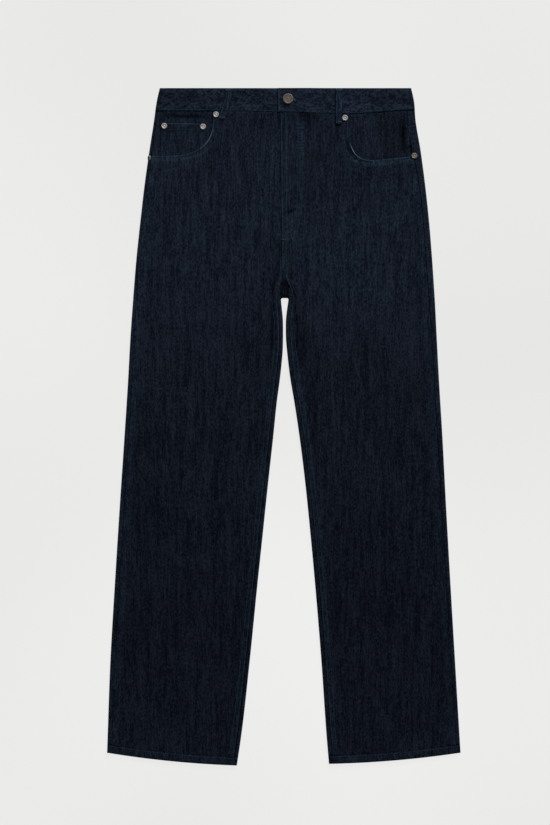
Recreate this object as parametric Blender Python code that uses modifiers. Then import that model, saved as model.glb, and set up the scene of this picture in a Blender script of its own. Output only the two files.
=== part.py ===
"""Straight-cut five-pocket jeans, laid flat on their back with the legs together.

The wearer's own right lies at -X, the waist at +Y, and the front faces up (+Z).
Places on the cloth are given as (x, down): x across, and down measured from the
waist's top edge. Sizes are in millimetres, and MM turns them into metres.
"""

import math

import bmesh
import bpy
import numpy as np
from mathutils import Vector

MM = 0.001
SIDES = {"right": -1, "left": 1}  # the wearer's own sides

# The whole garment
LENGTH = 1081.5  # waist edge to the lowest point of the hem
CENTRE = 1.1  # where the centre back seam and the crotch lie across
CLOTH = 1.2  # denim of the panels
BAND_CLOTH = 2.0  # waistband, folded double
HEM_CLOTH = 2.0  # hem, folded three times
LINING_CLOTH = 1.0  # pocket facings and the coin pocket
LOOP_CLOTH = 1.4
SEAM_GAP = 0.3
SLOPE_GAP = 0.45  # a little more where a sloping wall meets a folded one

# Waist and seat rest on the back pockets and loops, this far above the floor
SEAT_LIFT = 1.8
SEAT_END = 280.0  # down to here the seat is lifted
FLOOR_START = 306.0  # from here down the back lies on the floor

# Outer edge of the laid garment: down, right side, left side
OUTER_EDGE = (
    (0.0, -198.7, 203.9),
    (19.0, -203.0, 208.2),
    (51.0, -207.7, 211.0),
    (99.0, -215.0, 218.9),
    (147.0, -221.9, 225.4),
    (211.0, -229.4, 232.4),
    (275.0, -236.2, 237.6),
    (339.0, -241.4, 241.9),
    (403.0, -245.9, 245.2),
    (467.0, -249.4, 248.6),
    (563.0, -255.6, 254.4),
    (659.0, -262.1, 259.4),
    (787.0, -270.2, 266.6),
    (915.0, -277.7, 274.2),
    (1062.0, -283.1, 283.1),
)

# Inner edge of the legs: down, right leg, left leg
INNER_EDGE = (
    (339.0, -4.5, 7.4),
    (355.0, -2.9, 5.1),
    (371.0, -1.4, 3.4),
    (387.0, -1.1, 3.1),
    (403.0, -1.2, 3.5),
    (419.0, -1.6, 4.9),
    (435.0, -2.9, 6.6),
    (467.0, -6.4, 10.7),
    (499.0, -10.7, 16.2),
    (563.0, -17.4, 25.8),
    (627.0, -24.5, 33.7),
    (723.0, -34.6, 43.5),
    (787.0, -41.4, 49.4),
    (915.0, -54.4, 60.0),
    (1043.0, -69.4, 69.0),
    (1081.5, -75.2, 72.3),
)
NOTCH_DOWN = 336.0  # top of the gap between the legs
NOTCH_CORNER = 2.6  # radius of the notch's two corners

# Lower edge of the waistband on the front and on the back: x, down
BAND_FRONT = (
    (-207.0, 36.3),
    (-60.0, 37.4),
    (0.0, 38.8),
    (60.0, 40.4),
    (108.0, 41.2),
    (157.0, 37.9),
    (211.0, 33.9),
)
BAND_BACK = ((-207.0, 36.3), (CENTRE, 38.0), (211.0, 33.9))

# Fly: the left front laps over the right front along this line: down, x
CENTRE_FRONT = ((33.0, -5.2), (140.0, -4.4), (240.0, -3.5), (300.0, -2.6), (325.0, 0.9))
FLY_TUCK = 7.0  # how far the right front reaches under the left one
FLY_END = 236.0  # the lap ends here and a plain seam goes on
LAP_RISE = 1.3
TUCK_DROP = 0.4

# How far the side seams lie inside the outer edge, on the front: down, right, left
SIDE_SEAM = (
    (33.0, 3.4, 13.0),
    (90.0, 3.4, 15.0),
    (112.0, 3.4, 13.0),
    (150.0, 3.6, 10.4),
    (275.0, 4.4, 10.4),
    (420.0, 6.0, 8.8),
    (600.0, 7.2, 8.4),
    (1062.0, 7.2, 6.6),
)
INSEAM = 6.4  # how far the inseams lie inside the leg's inner edge
CROTCH_SEAM = 11.0  # and above the notch, where the four seams meet

# Height of the front's upper face, away from the edges, at the outer and at the inner edge: down, height
MIDDLE_HEIGHT = (
    (0.0, 6.4),
    (110.0, 6.4),
    (200.0, 6.0),
    (300.0, 5.2),
    (400.0, 4.3),
    (520.0, 3.9),
    (1062.0, 3.9),
)
OUTER_HEIGHT = ((0.0, 5.0), (90.0, 5.0), (150.0, 6.4), (300.0, 6.2), (450.0, 5.6), (1062.0, 5.0))
INNER_HEIGHT = ((336.0, 4.9), (380.0, 5.6), (500.0, 5.4), (1062.0, 5.0))
EDGE_REACH = 13.0  # the edges' puff dies away over this distance
VALLEY_DEPTH = 1.9  # soft valley that runs into the crotch
VALLEY_WIDTH = 7.0
TROUGH_DEPTH = 0.9  # troughs beside the inseams below the crotch
TROUGH_INSIDE = 11.0
TROUGH_WIDTH = 4.5

# Front pocket mouths: each is a quarter of a squared ellipse between the waist seam and the side seam
MOUTHS = {
    "right": {"front_x": -113.3, "depth": 73.0, "squareness": 3.3, "lift": 0.8, "height": 7.2},
    "left": {"front_x": 103.5, "depth": 80.4, "squareness": 5.0, "lift": 6.1, "height": 6.9},
}
MOUTH_END = 108.5  # where the mouth meets the side seam
MOUTH_FLAT = 12.0  # the front stays lifted this far from the mouth
MOUTH_FADE = 26.0
FACING_TUCK = 8.0
FACING_HEIGHT = 4.3
COIN_HEIGHT = 5.7
COIN_TUCK = 5.0
COIN = {"outer_x": -197.3, "inner_x": -125.3, "top": 56.0}

# Yoke seam on the back: at the side and at the centre
YOKE_SIDE = 58.0
YOKE_CENTRE = 100.0

# Back pockets: middle, top and bottom widths, and how far down each corner lies
BACK_POCKETS = {"right": -113.0, "left": 117.0}
BACK_POCKET = {"top": 118.0, "top_width": 148.0, "bottom": 252.0, "bottom_width": 122.0, "point": 270.0}
BACK_POCKET_CLOTH = 1.4
BACK_POCKET_TILT = 3.0  # degrees, the outer corner higher

# Waistband lap, shank button and its keyhole
LAP_EDGE = -9.3  # the upper end stops here
LAP_UNDER = 34.0  # the lower end stops here
BAND_HEIGHT = 6.8
LOWER_END_HEIGHT = 6.2
UPPER_END_HEIGHT = 8.6
BUTTON_PLACE = (6.7, 17.6)
BUTTON_RADIUS = 8.5
SHANK_RADIUS = 2.3
KEYHOLE_RADIUS = 3.0
KEYHOLE_REACH = 20.0
KEYHOLE_WIDTH = 1.4

# Belt loops: middle at the waist edge, middle at the lower end, length
LOOP_WIDTH = 9.8
FRONT_LOOPS = {
    "belt_loop_front_right": {"top_x": -88.7, "end_x": -99.4, "length": 50.5},
    "belt_loop_front_left": {"top_x": 88.0, "end_x": 88.0, "length": 58.0},
}
BACK_LOOPS = {"belt_loop_back_right": -97.0, "belt_loop_back_centre": CENTRE, "belt_loop_back_left": 99.0}
BACK_LOOP_LENGTH = 52.0

# Rivets: place and what carries each
RIVET_RADIUS = 4.7
RIVETS = {
    "rivet_mouth_right": {"place": (-108.6, 42.6), "on": "front"},
    "rivet_mouth_left": {"place": (97.9, 48.0), "on": "front"},
    "rivet_side_left": {"place": (208.6, 108.6), "on": "front"},
    "rivet_coin_outer": {"place": (-191.4, 60.8), "on": "coin"},
    "rivet_coin_inner": {"place": (-129.3, 61.9), "on": "coin"},
}
SIDE_RIVET_DOWN = 109.5
SIDE_RIVET_RISE = 25.0  # degrees that the rivet on the right side's fold looks up

# Hem
HEM_DEPTH = 13.0
HEM_OUTER = 1062.0
HEM_INNER = 1081.5
HEM_BULGE = 3.5
HEM_HEIGHT = 4.9

# Stations, shared by front and back so that their seam edges run side by side: down at the outer edge
SEAT_STATIONS = (132.0, 160.0, 196.0, 232.0, 264.0, 294.0)
LEG_STATIONS = (318.0, 324.0, 330.0, 336.0, 346.0, 360.0, 379.0, 400.0, 425.0, 455.0, 495.0, 545.0) + tuple(
    range(605, 1026, 60)
)
INNER_STATIONS = (350.0, 364.0, 383.0, 404.0, 429.0, 459.0, 500.0, 551.0) + tuple(range(612, 1041, 61))
BACK_TOP_STATIONS = (82.0, MOUTH_END)
CENTRE_BACK_STATIONS = (124.0, 149.0, 175.0, 202.0, 229.0, 256.0, 281.0, 307.0)
CENTRE_FRONT_STATIONS = tuple(range(48, 180, 13)) + (190.0, 208.0, 224.0, 240.0, 256.0, 278.0, 302.0)
MOUTH_STATIONS = 13
FOLD_ANGLES = (-90.0, -45.0, 0.0, 45.0, 90.0)
NEAR_OUTER = (0.0, 5.0, 12.0, 24.0, 40.0)  # columns this far from a front's outer edge
NEAR_INNER = (36.0, 24.0, 16.0, 10.0, 5.0, 0.0)  # and this far from its inner edge
MIDDLE_COLUMNS = 6
PLATE_COLUMNS = 6

DENIM = (0.0072, 0.0104, 0.0179)
SILVER = (0.33, 0.30, 0.28)
ANTIQUE = (0.131, 0.114, 0.091)


def smooth_curve(rows, column=1):
    """A function that runs smoothly through one column of a table over the table's first column."""
    places = np.array([row[0] for row in rows], float)
    values = np.array([row[column] for row in rows], float)
    slopes = np.gradient(values, places)

    def at(place):
        place = min(max(place, places[0]), places[-1])
        index = min(int(np.searchsorted(places, place, side="right")) - 1, len(places) - 2)
        span = places[index + 1] - places[index]
        t = (place - places[index]) / span
        start = values[index] * (1 + 2 * t) * (1 - t) ** 2 + slopes[index] * span * t * (1 - t) ** 2
        end = values[index + 1] * t * t * (3 - 2 * t) + slopes[index + 1] * span * t * t * (t - 1)
        return float(start + end)

    return at


def ramp(value, start, end):
    """0 before start, 1 after end, and an S-shaped rise between."""
    t = min(max((value - start) / (end - start), 0.0), 1.0)
    return t * t * (3 - 2 * t)


def mix(start, end, share):
    return start + (end - start) * share


def straight_line(rows):
    """A function that runs in straight stretches through a table."""
    places, values = zip(*rows)
    return lambda place: float(np.interp(place, places, values))


outer_edge = {side: smooth_curve(OUTER_EDGE, column) for side, column in (("right", 1), ("left", 2))}
inner_edge = {side: smooth_curve(INNER_EDGE, column) for side, column in (("right", 1), ("left", 2))}
side_seam = {side: smooth_curve(SIDE_SEAM, column) for side, column in (("right", 1), ("left", 2))}
band_front = smooth_curve(BAND_FRONT)
band_back = straight_line(BAND_BACK)
centre_front = smooth_curve(CENTRE_FRONT)
middle_height = smooth_curve(MIDDLE_HEIGHT)
outer_height = smooth_curve(OUTER_HEIGHT)
inner_height = smooth_curve(INNER_HEIGHT)


def seat_lift(down):
    """Height of the back's under face above the floor."""
    return SEAT_LIFT * (1 - ramp(down, SEAT_END, FLOOR_START))


def leg_share(side, x, down):
    """0 at the leg's outer edge and 1 at its inner edge."""
    outer = outer_edge[side](down)
    inner = inner_edge[side](down)
    return min(max((x - outer) / (inner - outer), 0.0), 1.0)


def hem_sag(side, x, down):
    """How much further down the cloth lies between a leg's edges as it nears the hem."""
    share = leg_share(side, x, down)
    return HEM_BULGE * 4 * share * (1 - share) * ramp(down, 850.0, 1045.0)


def hem_line(side, x, rise):
    """How far down the line lies that runs this far above the hem's lower edge."""
    share = leg_share(side, x, HEM_OUTER - rise)
    return mix(HEM_OUTER, HEM_INNER, share) - rise + HEM_BULGE * 4 * share * (1 - share)


def end_at_hem(side, row):
    """The same row, brought to the top edge of the hem."""
    return [(x, hem_line(side, x, HEM_DEPTH + SEAM_GAP), height) for x, down, height in row]


# ---- the pocket mouths ----


def seam_x(side, down):
    """Where the side seam lies across, on the front."""
    return outer_edge[side](down) - SIDES[side] * side_seam[side](down)


def mouth_point(side, share, tuck=0.0):
    """A point of a pocket mouth, share 0 at the side seam and 1 at the waist seam, moved out by tuck."""
    mouth = MOUTHS[side]
    end_x = mouth["front_x"] - SIDES[side] * tuck
    x = mix(seam_x(side, MOUTH_END), end_x, share)
    fall = (1 - share ** mouth["squareness"]) ** (1 / mouth["squareness"])
    waist = band_front(x)
    low = (mouth["depth"] + tuck) * fall - mouth["lift"] * (1 - share) ** 2 * fall
    return x, waist + low


def even_points(points, count):
    """The same line, with count points at equal distances along it."""
    points = np.array(points)
    steps = np.hypot(*np.diff(points, axis=0).T)
    along = np.concatenate(([0.0], np.cumsum(steps)))
    places = np.linspace(0.0, along[-1], count)
    x = np.interp(places, along, points[:, 0])
    down = np.interp(places, along, points[:, 1])
    return [(float(across), float(below)) for across, below in zip(x, down)]


def mouth_line(side, count):
    """The mouth from the waist seam round to the side seam."""
    fine = [mouth_point(side, math.cos(math.radians(angle)) ** 0.4) for angle in np.linspace(0.0, 90.0, 120)]
    return even_points(fine, count)


mouth_samples = {side: np.array(mouth_line(side, 80)) for side in SIDES}


def mouth_distance(side, x, down):
    gaps = mouth_samples[side] - np.array((x, down))
    return float(np.sqrt((gaps**2).sum(axis=1).min()))


# ---- heights of the upper faces ----


def inner_distance(side, x, down):
    """Distance from the leg's inner edge, or from the notch above it."""
    if down >= NOTCH_DOWN:
        return abs(x - inner_edge[side](down))
    half = abs(inner_edge[side](NOTCH_DOWN) - CENTRE)
    return math.hypot(max(abs(x - CENTRE) - half, 0.0), NOTCH_DOWN - down)


def front_height(side, x, down):
    """Height of the front's upper face, and of the back's where it comes round onto the front."""
    middle = middle_height(down)
    near_outer = math.exp(-((abs(x - outer_edge[side](down)) / EDGE_REACH) ** 2))
    inside = inner_distance(side, x, down)
    near_inner = math.exp(-((inside / EDGE_REACH) ** 2))
    height = middle + (outer_height(down) - middle) * near_outer + (inner_height(down) - middle) * near_inner

    valley = math.exp(-(((x - CENTRE) / VALLEY_WIDTH) ** 2))
    height -= VALLEY_DEPTH * valley * ramp(down, 288.0, 322.0) * (1 - ramp(down, 332.0, 354.0))
    trough = math.exp(-(((inside - TROUGH_INSIDE) / TROUGH_WIDTH) ** 2))
    height -= TROUGH_DEPTH * trough * ramp(down, 312.0, 340.0) * (1 - ramp(down, 380.0, 430.0))

    mouth = MOUTHS[side]["height"]
    if down < MOUTH_END + MOUTH_FLAT + MOUTH_FADE:
        lifted = 1 - ramp(mouth_distance(side, x, down), MOUTH_FLAT, MOUTH_FLAT + MOUTH_FADE)
        height += max(mouth - height, 0.0) * lifted

    past = (x - centre_front(down)) * SIDES[side]
    lap = 1 - ramp(down, FLY_END + 22.0, FLY_END + 50.0)
    if side == "left":
        height += LAP_RISE * lap * (1 - ramp(past, 14.0, 38.0))
    else:
        height -= TUCK_DROP * lap * (1 - ramp(past, 2.0, 18.0))
    least = seat_lift(down) + 2 * CLOTH + SLOPE_GAP
    return max(height, least)


def facing_height(side, x, down):
    """Height of a pocket facing's upper face: it rises a little to the side seam."""
    inside = abs(x - seam_x(side, down))
    return FACING_HEIGHT + 0.6 * math.exp(-((inside / 7.0) ** 2)) * (1 - ramp(down, 84.0, 98.0))


def band_height(x, upper):
    """Height of the waistband's front, on its upper or its lower end."""
    if upper:
        return mix(UPPER_END_HEIGHT, BAND_HEIGHT, ramp(x, LAP_UNDER + 4.0, 72.0))
    return mix(BAND_HEIGHT, LOWER_END_HEIGHT, ramp(x, -48.0, LAP_EDGE - 8.0))


# ---- paths along the edges ----


def outer_station(side, down):
    return outer_edge[side](down), down


def inner_path(side):
    """Points down a leg's inner edge, from the middle of the notch to the top of the hem."""
    toward = SIDES[side]
    edge = inner_edge[side](NOTCH_DOWN + NOTCH_CORNER)
    points = [(CENTRE + toward * SEAM_GAP / 2, NOTCH_DOWN)]
    for angle in (0.0, 45.0, 90.0):
        turn = math.radians(angle)
        across = edge - toward * NOTCH_CORNER * (1 - math.sin(turn))
        points.append((across, NOTCH_DOWN + NOTCH_CORNER * (1 - math.cos(turn))))
    points += [(inner_edge[side](down), down) for down in INNER_STATIONS]
    hem_top = HEM_INNER - HEM_DEPTH - SEAM_GAP
    points.append((inner_edge[side](hem_top), hem_top))
    return points


def inward(points, index, toward):
    """The direction into the cloth at a point of a path, toward being the cloth's side of it."""
    before = Vector(points[max(index - 1, 0)])
    after = Vector(points[min(index + 1, len(points) - 1)])
    along = (after - before).normalized()
    return Vector((along.y, -along.x)) * toward


def fold_points(side, place, into, seam):
    """The wrap of the back round one edge, from the under face round the fold to the seam on the front."""
    place = Vector(place)
    low = seat_lift(place.y)
    near = place + into * 2.0
    half = (front_height(side, near.x, near.y) - low) / 2
    points = []
    for angle in FOLD_ANGLES:
        turn = math.radians(angle)
        spot = place + into * half * (1 - math.cos(turn))
        points.append((spot.x, spot.y, low + half * (1 + math.sin(turn))))
    end = place + into * seam
    points.append((end.x, end.y, front_height(side, end.x, end.y)))
    return points


def crotch_seam(path, index):
    """How far the inseam lies inside the inner path: more at the crotch than down the leg."""
    steps = [math.dist(path[i], path[i + 1]) for i in range(index)]
    return INSEAM + (CROTCH_SEAM - INSEAM) * math.exp(-sum(steps) / 25.0)


# ---- making objects ----

for old in list(bpy.data.objects):
    bpy.data.objects.remove(old)

garment = bpy.data.collections.new("dad_jeans")
bpy.context.scene.collection.children.link(garment)
cutters = bpy.data.collections.new("cutters")
bpy.context.scene.collection.children.link(cutters)


def place_mm(x, down, height):
    return Vector((x, LENGTH / 2 - down, height)) * MM


def finish(name, colour, roughness, metallic):
    """A material of the object's own."""
    made = bpy.data.materials.new(name)
    made.use_nodes = True
    shader = made.node_tree.nodes["Principled BSDF"]
    shader.inputs["Base Color"].default_value = (*colour, 1.0)
    shader.inputs["Roughness"].default_value = roughness
    shader.inputs["Metallic"].default_value = metallic
    return made


def add_object(name, mesh, colour=DENIM, roughness=0.9, metallic=0.0):
    made = bpy.data.objects.new(name, mesh)
    garment.objects.link(made)
    mesh.materials.append(finish(name, colour, roughness, metallic))
    return made


def sheet(name, rows, cloth, up=None, closed=False, grow=-1.0, colour=DENIM):
    """A cloth wall over rows of points. Where up is given, the sheet's larger part faces up or down."""
    work = bmesh.new()
    grid = [[work.verts.new(place_mm(*point)) for point in row] for row in rows]
    for row, following in zip(grid, grid[1:]):
        reach = min(len(row), len(following))
        for column in range(reach if closed else reach - 1):
            after = (column + 1) % reach
            work.faces.new((row[column], row[after], following[after], following[column]))
    work.normal_update()
    if up is not None:
        lean = sum(face.normal.z * face.calc_area() for face in work.faces)
        if (lean > 0) != up:
            bmesh.ops.reverse_faces(work, faces=work.faces)
    mesh = bpy.data.meshes.new(name)
    work.to_mesh(mesh)
    work.free()
    made = add_object(name, mesh, colour)
    wall = made.modifiers.new("cloth", "SOLIDIFY")
    wall.thickness = cloth * MM
    wall.offset = grow
    wall.use_even_offset = True
    mesh.shade_smooth()
    return made


def turned(name, profile, sides, colour, roughness, at, look=(0.0, 0.0, 1.0)):
    """A turned metal piece from a profile of (radius, height), top to bottom on its outer side."""
    work = bmesh.new()
    spots = [work.verts.new((radius * MM, 0.0, height * MM)) for radius, height in profile]
    for first, second in zip(spots, spots[1:]):
        work.edges.new((first, second))
    mesh = bpy.data.meshes.new(name)
    work.to_mesh(mesh)
    work.free()
    made = add_object(name, mesh, colour, roughness, 1.0)
    screw = made.modifiers.new("turn", "SCREW")
    screw.steps = sides
    screw.render_steps = sides
    screw.use_merge_vertices = True
    screw.merge_threshold = 0.00001
    screw.use_smooth_shade = True
    made.rotation_euler = Vector(look).to_track_quat("Z", "Y").to_euler()
    made.location = at
    return made


# ---- the back ----


def back_row(side, outer, inner, path=None, index=0):
    """One row of the back: round the outer fold, across the under face, round the inner fold if any."""
    toward = SIDES[side]
    stations = [outer_station(side, outer + step) for step in (-5.0, 0.0, 5.0)]
    into = inward(stations, 1, -toward)
    wrap = fold_points(side, stations[1], into, side_seam[side](outer))
    row = [(x, down + hem_sag(side, x, down), height) for x, down, height in reversed(wrap)]
    if path is None:
        end = (CENTRE + toward * SEAM_GAP / 2, inner)
        inner_wrap = [(*end, seat_lift(inner))]
    else:
        inner_wrap = fold_points(side, path[index], into_leg(path, index, toward), crotch_seam(path, index))
        inner_wrap = [(x, down + hem_sag(side, x, down), height) for x, down, height in inner_wrap]
    start = wrap[0]
    end = inner_wrap[0]
    for column in range(1, PLATE_COLUMNS):
        share = column / PLATE_COLUMNS
        x = mix(start[0], end[0], share)
        down = mix(start[1], end[1], share)
        row.append((x, down + hem_sag(side, x, down), seat_lift(down)))
    return row + inner_wrap


def into_leg(path, index, toward):
    """Into the cloth from the inner path: straight up at the notch's middle, away from the gap below it."""
    if index == 0:
        return Vector((0.0, -1.0))
    return inward(path, index, toward)


def make_back(side):
    """A back panel, from the yoke seam to the hem, wrapped round to the front at both edges of the leg."""
    hem_top = HEM_OUTER - HEM_DEPTH - SEAM_GAP
    outer = (YOKE_SIDE + SEAM_GAP, *BACK_TOP_STATIONS, *SEAT_STATIONS)
    inner = (YOKE_CENTRE + SEAM_GAP, *CENTRE_BACK_STATIONS)
    rows = [back_row(side, first, second) for first, second in zip(outer, inner)]
    path = inner_path(side)
    for index, down in enumerate((*LEG_STATIONS, hem_top)):
        rows.append(back_row(side, down, None, path, index))
    rows[-1] = end_at_hem(side, rows[-1])
    sheet(f"back_panel_{side}", rows, CLOTH, up=False)


def make_yoke(side):
    """A yoke, deeper at the centre back than at the side seam."""
    edge = outer_edge[side](YOKE_SIDE)
    top_side = band_back(edge) + SEAM_GAP
    top_centre = band_back(CENTRE) + SEAM_GAP
    rows = []
    for share in (0.0, 0.5, 1.0):
        rows.append(back_row(side, mix(top_side, YOKE_SIDE, share), mix(top_centre, YOKE_CENTRE, share)))
    seams = [band_front if z > SEAT_LIFT + CLOTH else band_back for x, down, z in rows[0]]
    rows[0] = [(x, seam(x) + SLOPE_GAP, z) for seam, (x, down, z) in zip(seams, rows[0])]
    sheet(f"yoke_{side}", rows, CLOTH, up=False)


def make_back_pocket(side):
    """A plain five-cornered patch pocket, cut from a flat outline."""
    pocket = BACK_POCKET
    half_top = pocket["top_width"] / 2
    half_low = pocket["bottom_width"] / 2
    middle = (pocket["top"] + pocket["point"]) / 2
    corners = (
        (-half_top, pocket["top"]),
        (half_top, pocket["top"]),
        (half_low, pocket["bottom"]),
        (0.0, pocket["point"]),
        (-half_low, pocket["bottom"]),
    )
    shape = bpy.data.curves.new("pocket_outline", "CURVE")
    shape.dimensions = "2D"
    shape.fill_mode = "BOTH"
    shape.extrude = BACK_POCKET_CLOTH / 2 * MM
    line = shape.splines.new("POLY")
    line.points.add(len(corners) - 1)
    for point, (across, down) in zip(line.points, corners):
        point.co = (across * MM, (middle - down) * MM, 0.0, 1.0)
    line.use_cyclic_u = True
    guide = bpy.data.objects.new("pocket_outline", shape)
    cutters.objects.link(guide)
    bpy.context.view_layer.update()
    mesh = bpy.data.meshes.new_from_object(guide.evaluated_get(bpy.context.evaluated_depsgraph_get()))
    bpy.data.objects.remove(guide)
    work = bmesh.new()
    work.from_mesh(mesh)
    bmesh.ops.remove_doubles(work, verts=work.verts, dist=0.00001)
    work.to_mesh(mesh)
    work.free()
    made = add_object(f"back_pocket_{side}", mesh)
    made.location = place_mm(BACK_POCKETS[side], middle, BACK_POCKET_CLOTH / 2)
    made.rotation_euler.z = math.radians(BACK_POCKET_TILT * SIDES[side])
    edge = made.modifiers.new("turned_edge", "BEVEL")
    edge.width = 0.35 * MM
    edge.segments = 1


# ---- the front ----


def front_row(side, outer, inner):
    """One row of a front panel, between a point on its outer and one on its inner edge."""
    outer = Vector(outer)
    inner = Vector(inner)
    length = (inner - outer).length
    first = NEAR_OUTER[-1]
    last = length - NEAR_INNER[0]
    spread = [mix(first, last, number / (MIDDLE_COLUMNS + 1)) for number in range(1, MIDDLE_COLUMNS + 1)]
    places = [*NEAR_OUTER, *spread, *(length - gap for gap in NEAR_INNER)]
    row = []
    for place in places:
        spot = outer.lerp(inner, place / length)
        row.append((spot.x, spot.y + hem_sag(side, spot.x, spot.y), front_height(side, spot.x, spot.y)))
    return row


def fly_edge(side, down):
    """A front's edge at the centre: the left one on top, the right one tucked under it down the lap."""
    x = centre_front(down)
    if side == "left":
        return x, down
    tucked = FLY_TUCK * (1 - ramp(down, FLY_END - 10.0, FLY_END + 14.0))
    return x - SEAM_GAP + tucked, down


def make_front(side):
    """A front panel, from the waist and the pocket mouth to the hem."""
    toward = SIDES[side]
    outer = mouth_line(side, MOUTH_STATIONS)
    waist = band_front(outer[0][0]) + SEAM_GAP
    outer[0] = (outer[0][0], waist)
    outer.pop()
    for down in (MOUTH_END, *SEAT_STATIONS, *LEG_STATIONS, HEM_OUTER - HEM_DEPTH - SEAM_GAP):
        stations = [outer_station(side, down + step) for step in (-5.0, 0.0, 5.0)]
        into = inward(stations, 1, -toward)
        outer.append(Vector(stations[1]) + into * (side_seam[side](down) + SLOPE_GAP))
    top = band_front(centre_front(40.0)) + SEAM_GAP
    inner = [fly_edge(side, down) for down in (top, *CENTRE_FRONT_STATIONS)]
    path = inner_path(side)
    for index, point in enumerate(path):
        into = into_leg(path, index, toward)
        inner.append(Vector(point) + into * (crotch_seam(path, index) + SLOPE_GAP))
    rows = [front_row(side, first, second) for first, second in zip(outer, inner)]
    rows[0] = [(x, band_front(x) + SEAM_GAP, height) for x, down, height in rows[0]]
    rows[-1] = end_at_hem(side, rows[-1])
    sheet(f"front_panel_{side}", rows, CLOTH, up=True)


def make_facing(side):
    """A pocket facing: seen in the mouth, with its far edge tucked under the front."""
    end_x = MOUTHS[side]["front_x"] - SIDES[side] * FACING_TUCK
    rows = []
    for share in (0.0, 0.06, 0.13, 0.2, 0.3, 0.4, 0.5, 0.6, 0.7, 0.8, 0.88, 0.94, 0.985):
        low = mouth_point(side, share, FACING_TUCK)[1] - ramp(1 - share, 0.9, 1.0) * (FACING_TUCK + 1.0)
        row = []
        for fall in (0.0, 0.2, 0.4, 0.6, 0.8, 1.0):
            across = mix(seam_x(side, 40.0), end_x, share)
            top = max(band_front(across), band_back(across)) + SEAM_GAP
            down = mix(top, low, fall)
            edge = seam_x(side, down) - SIDES[side] * SLOPE_GAP
            x = mix(edge, end_x, share)
            row.append((x, down, facing_height(side, x, down)))
        rows.append(row)
    sheet(f"pocket_facing_{side}", rows, LINING_CLOTH, up=True)


def make_coin_pocket():
    """The small pocket on the right facing, open at its top edge and tucked under the front at its foot."""
    rows = []
    edge = seam_x("right", MOUTH_END)
    end_x = MOUTHS["right"]["front_x"] + COIN_TUCK
    for number in range(13):
        x = mix(COIN["outer_x"], COIN["inner_x"], number / 12)
        low = mouth_point("right", (x - edge) / (end_x - edge), COIN_TUCK)[1]
        row = []
        for fall in (0.0, 0.2, 0.4, 0.6, 0.8, 1.0):
            row.append((x, mix(COIN["top"] + 0.8 * number / 12, low, fall), COIN_HEIGHT))
        rows.append(row)
    sheet("coin_pocket", rows, LINING_CLOTH, up=True)


# ---- waistband and belt loops ----


def band_row(share):
    """One line round the waistband, from its lower end, round the back, to its upper end."""
    row = []

    def add(x, seam, height):
        row.append((x, seam * share, height))

    right = outer_edge["right"](band_front(-207.0) * share)
    left = outer_edge["left"](band_front(211.0) * share)
    half = (BAND_HEIGHT - SEAT_LIFT) / 2
    for x in (LAP_UNDER, 12.0, -10.0, -22.0, -35.0, -50.0, -90.0, -140.0, -180.0):
        add(x, band_front(x), band_height(x, False))
    for angle in (90.0, 60.0, 30.0, 0.0, -30.0, -60.0, -90.0):
        turn = math.radians(angle)
        add(right + half * (1 - math.cos(turn)), band_front(-207.0), SEAT_LIFT + half * (1 + math.sin(turn)))
    for x in (-150.0, -75.0, CENTRE, 75.0, 150.0):
        add(x, band_back(x), SEAT_LIFT)
    for angle in (-90.0, -60.0, -30.0, 0.0, 30.0, 60.0, 90.0):
        turn = math.radians(angle)
        add(left - half * (1 - math.cos(turn)), band_front(211.0), SEAT_LIFT + half * (1 + math.sin(turn)))
    for x in (185.0, 157.0, 130.0, 108.0, 84.0, 72.0, 63.0, 55.0, 47.0, LAP_UNDER + 4.0, 15.0, LAP_EDGE):
        add(x, band_front(x), band_height(x, True))
    return row


def add_cutter(mesh, place):
    cutter = bpy.data.objects.new("keyhole", mesh)
    cutters.objects.link(cutter)
    cutter.location = place
    cutter.hide_render = True
    cutter.display_type = "WIRE"
    return cutter


def keyhole_cutters():
    """A round eye for the shank, and the slit that runs from it away from the band's end."""
    x, down = BUTTON_PLACE
    middle = UPPER_END_HEIGHT - BAND_CLOTH / 2
    tall = BAND_CLOTH + 0.6
    eye = bmesh.new()
    bmesh.ops.create_cone(
        eye,
        cap_ends=True,
        segments=16,
        radius1=KEYHOLE_RADIUS * MM,
        radius2=KEYHOLE_RADIUS * MM,
        depth=tall * MM,
    )
    slit = bmesh.new()
    bmesh.ops.create_cube(slit, size=1.0)
    bmesh.ops.scale(slit, vec=(KEYHOLE_REACH * MM, KEYHOLE_WIDTH * MM, tall * MM), verts=slit.verts)
    made = []
    for work, across in ((eye, x), (slit, x + KEYHOLE_REACH / 2)):
        mesh = bpy.data.meshes.new("keyhole")
        work.to_mesh(mesh)
        work.free()
        made.append(add_cutter(mesh, place_mm(across, down, middle)))
    return made


def make_waistband():
    """The waistband: one strip, its upper end lapped over its lower end at the centre front."""
    made = sheet("waistband", [band_row(share) for share in (0.0, 0.5, 1.0)], BAND_CLOTH)
    for cutter in keyhole_cutters():
        cut = made.modifiers.new("keyhole", "BOOLEAN")
        cut.object = cutter
        cut.operation = "DIFFERENCE"


def dressed_height(side, x, down):
    """Height of whatever lies on top at the waist: the band above its seam, the front panel below."""
    if down <= band_front(x) + 1.0:
        return max(band_height(x, x > LAP_EDGE), front_height(side, x, down) if down > 30.0 else 0.0)
    return front_height(side, x, down)


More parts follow.
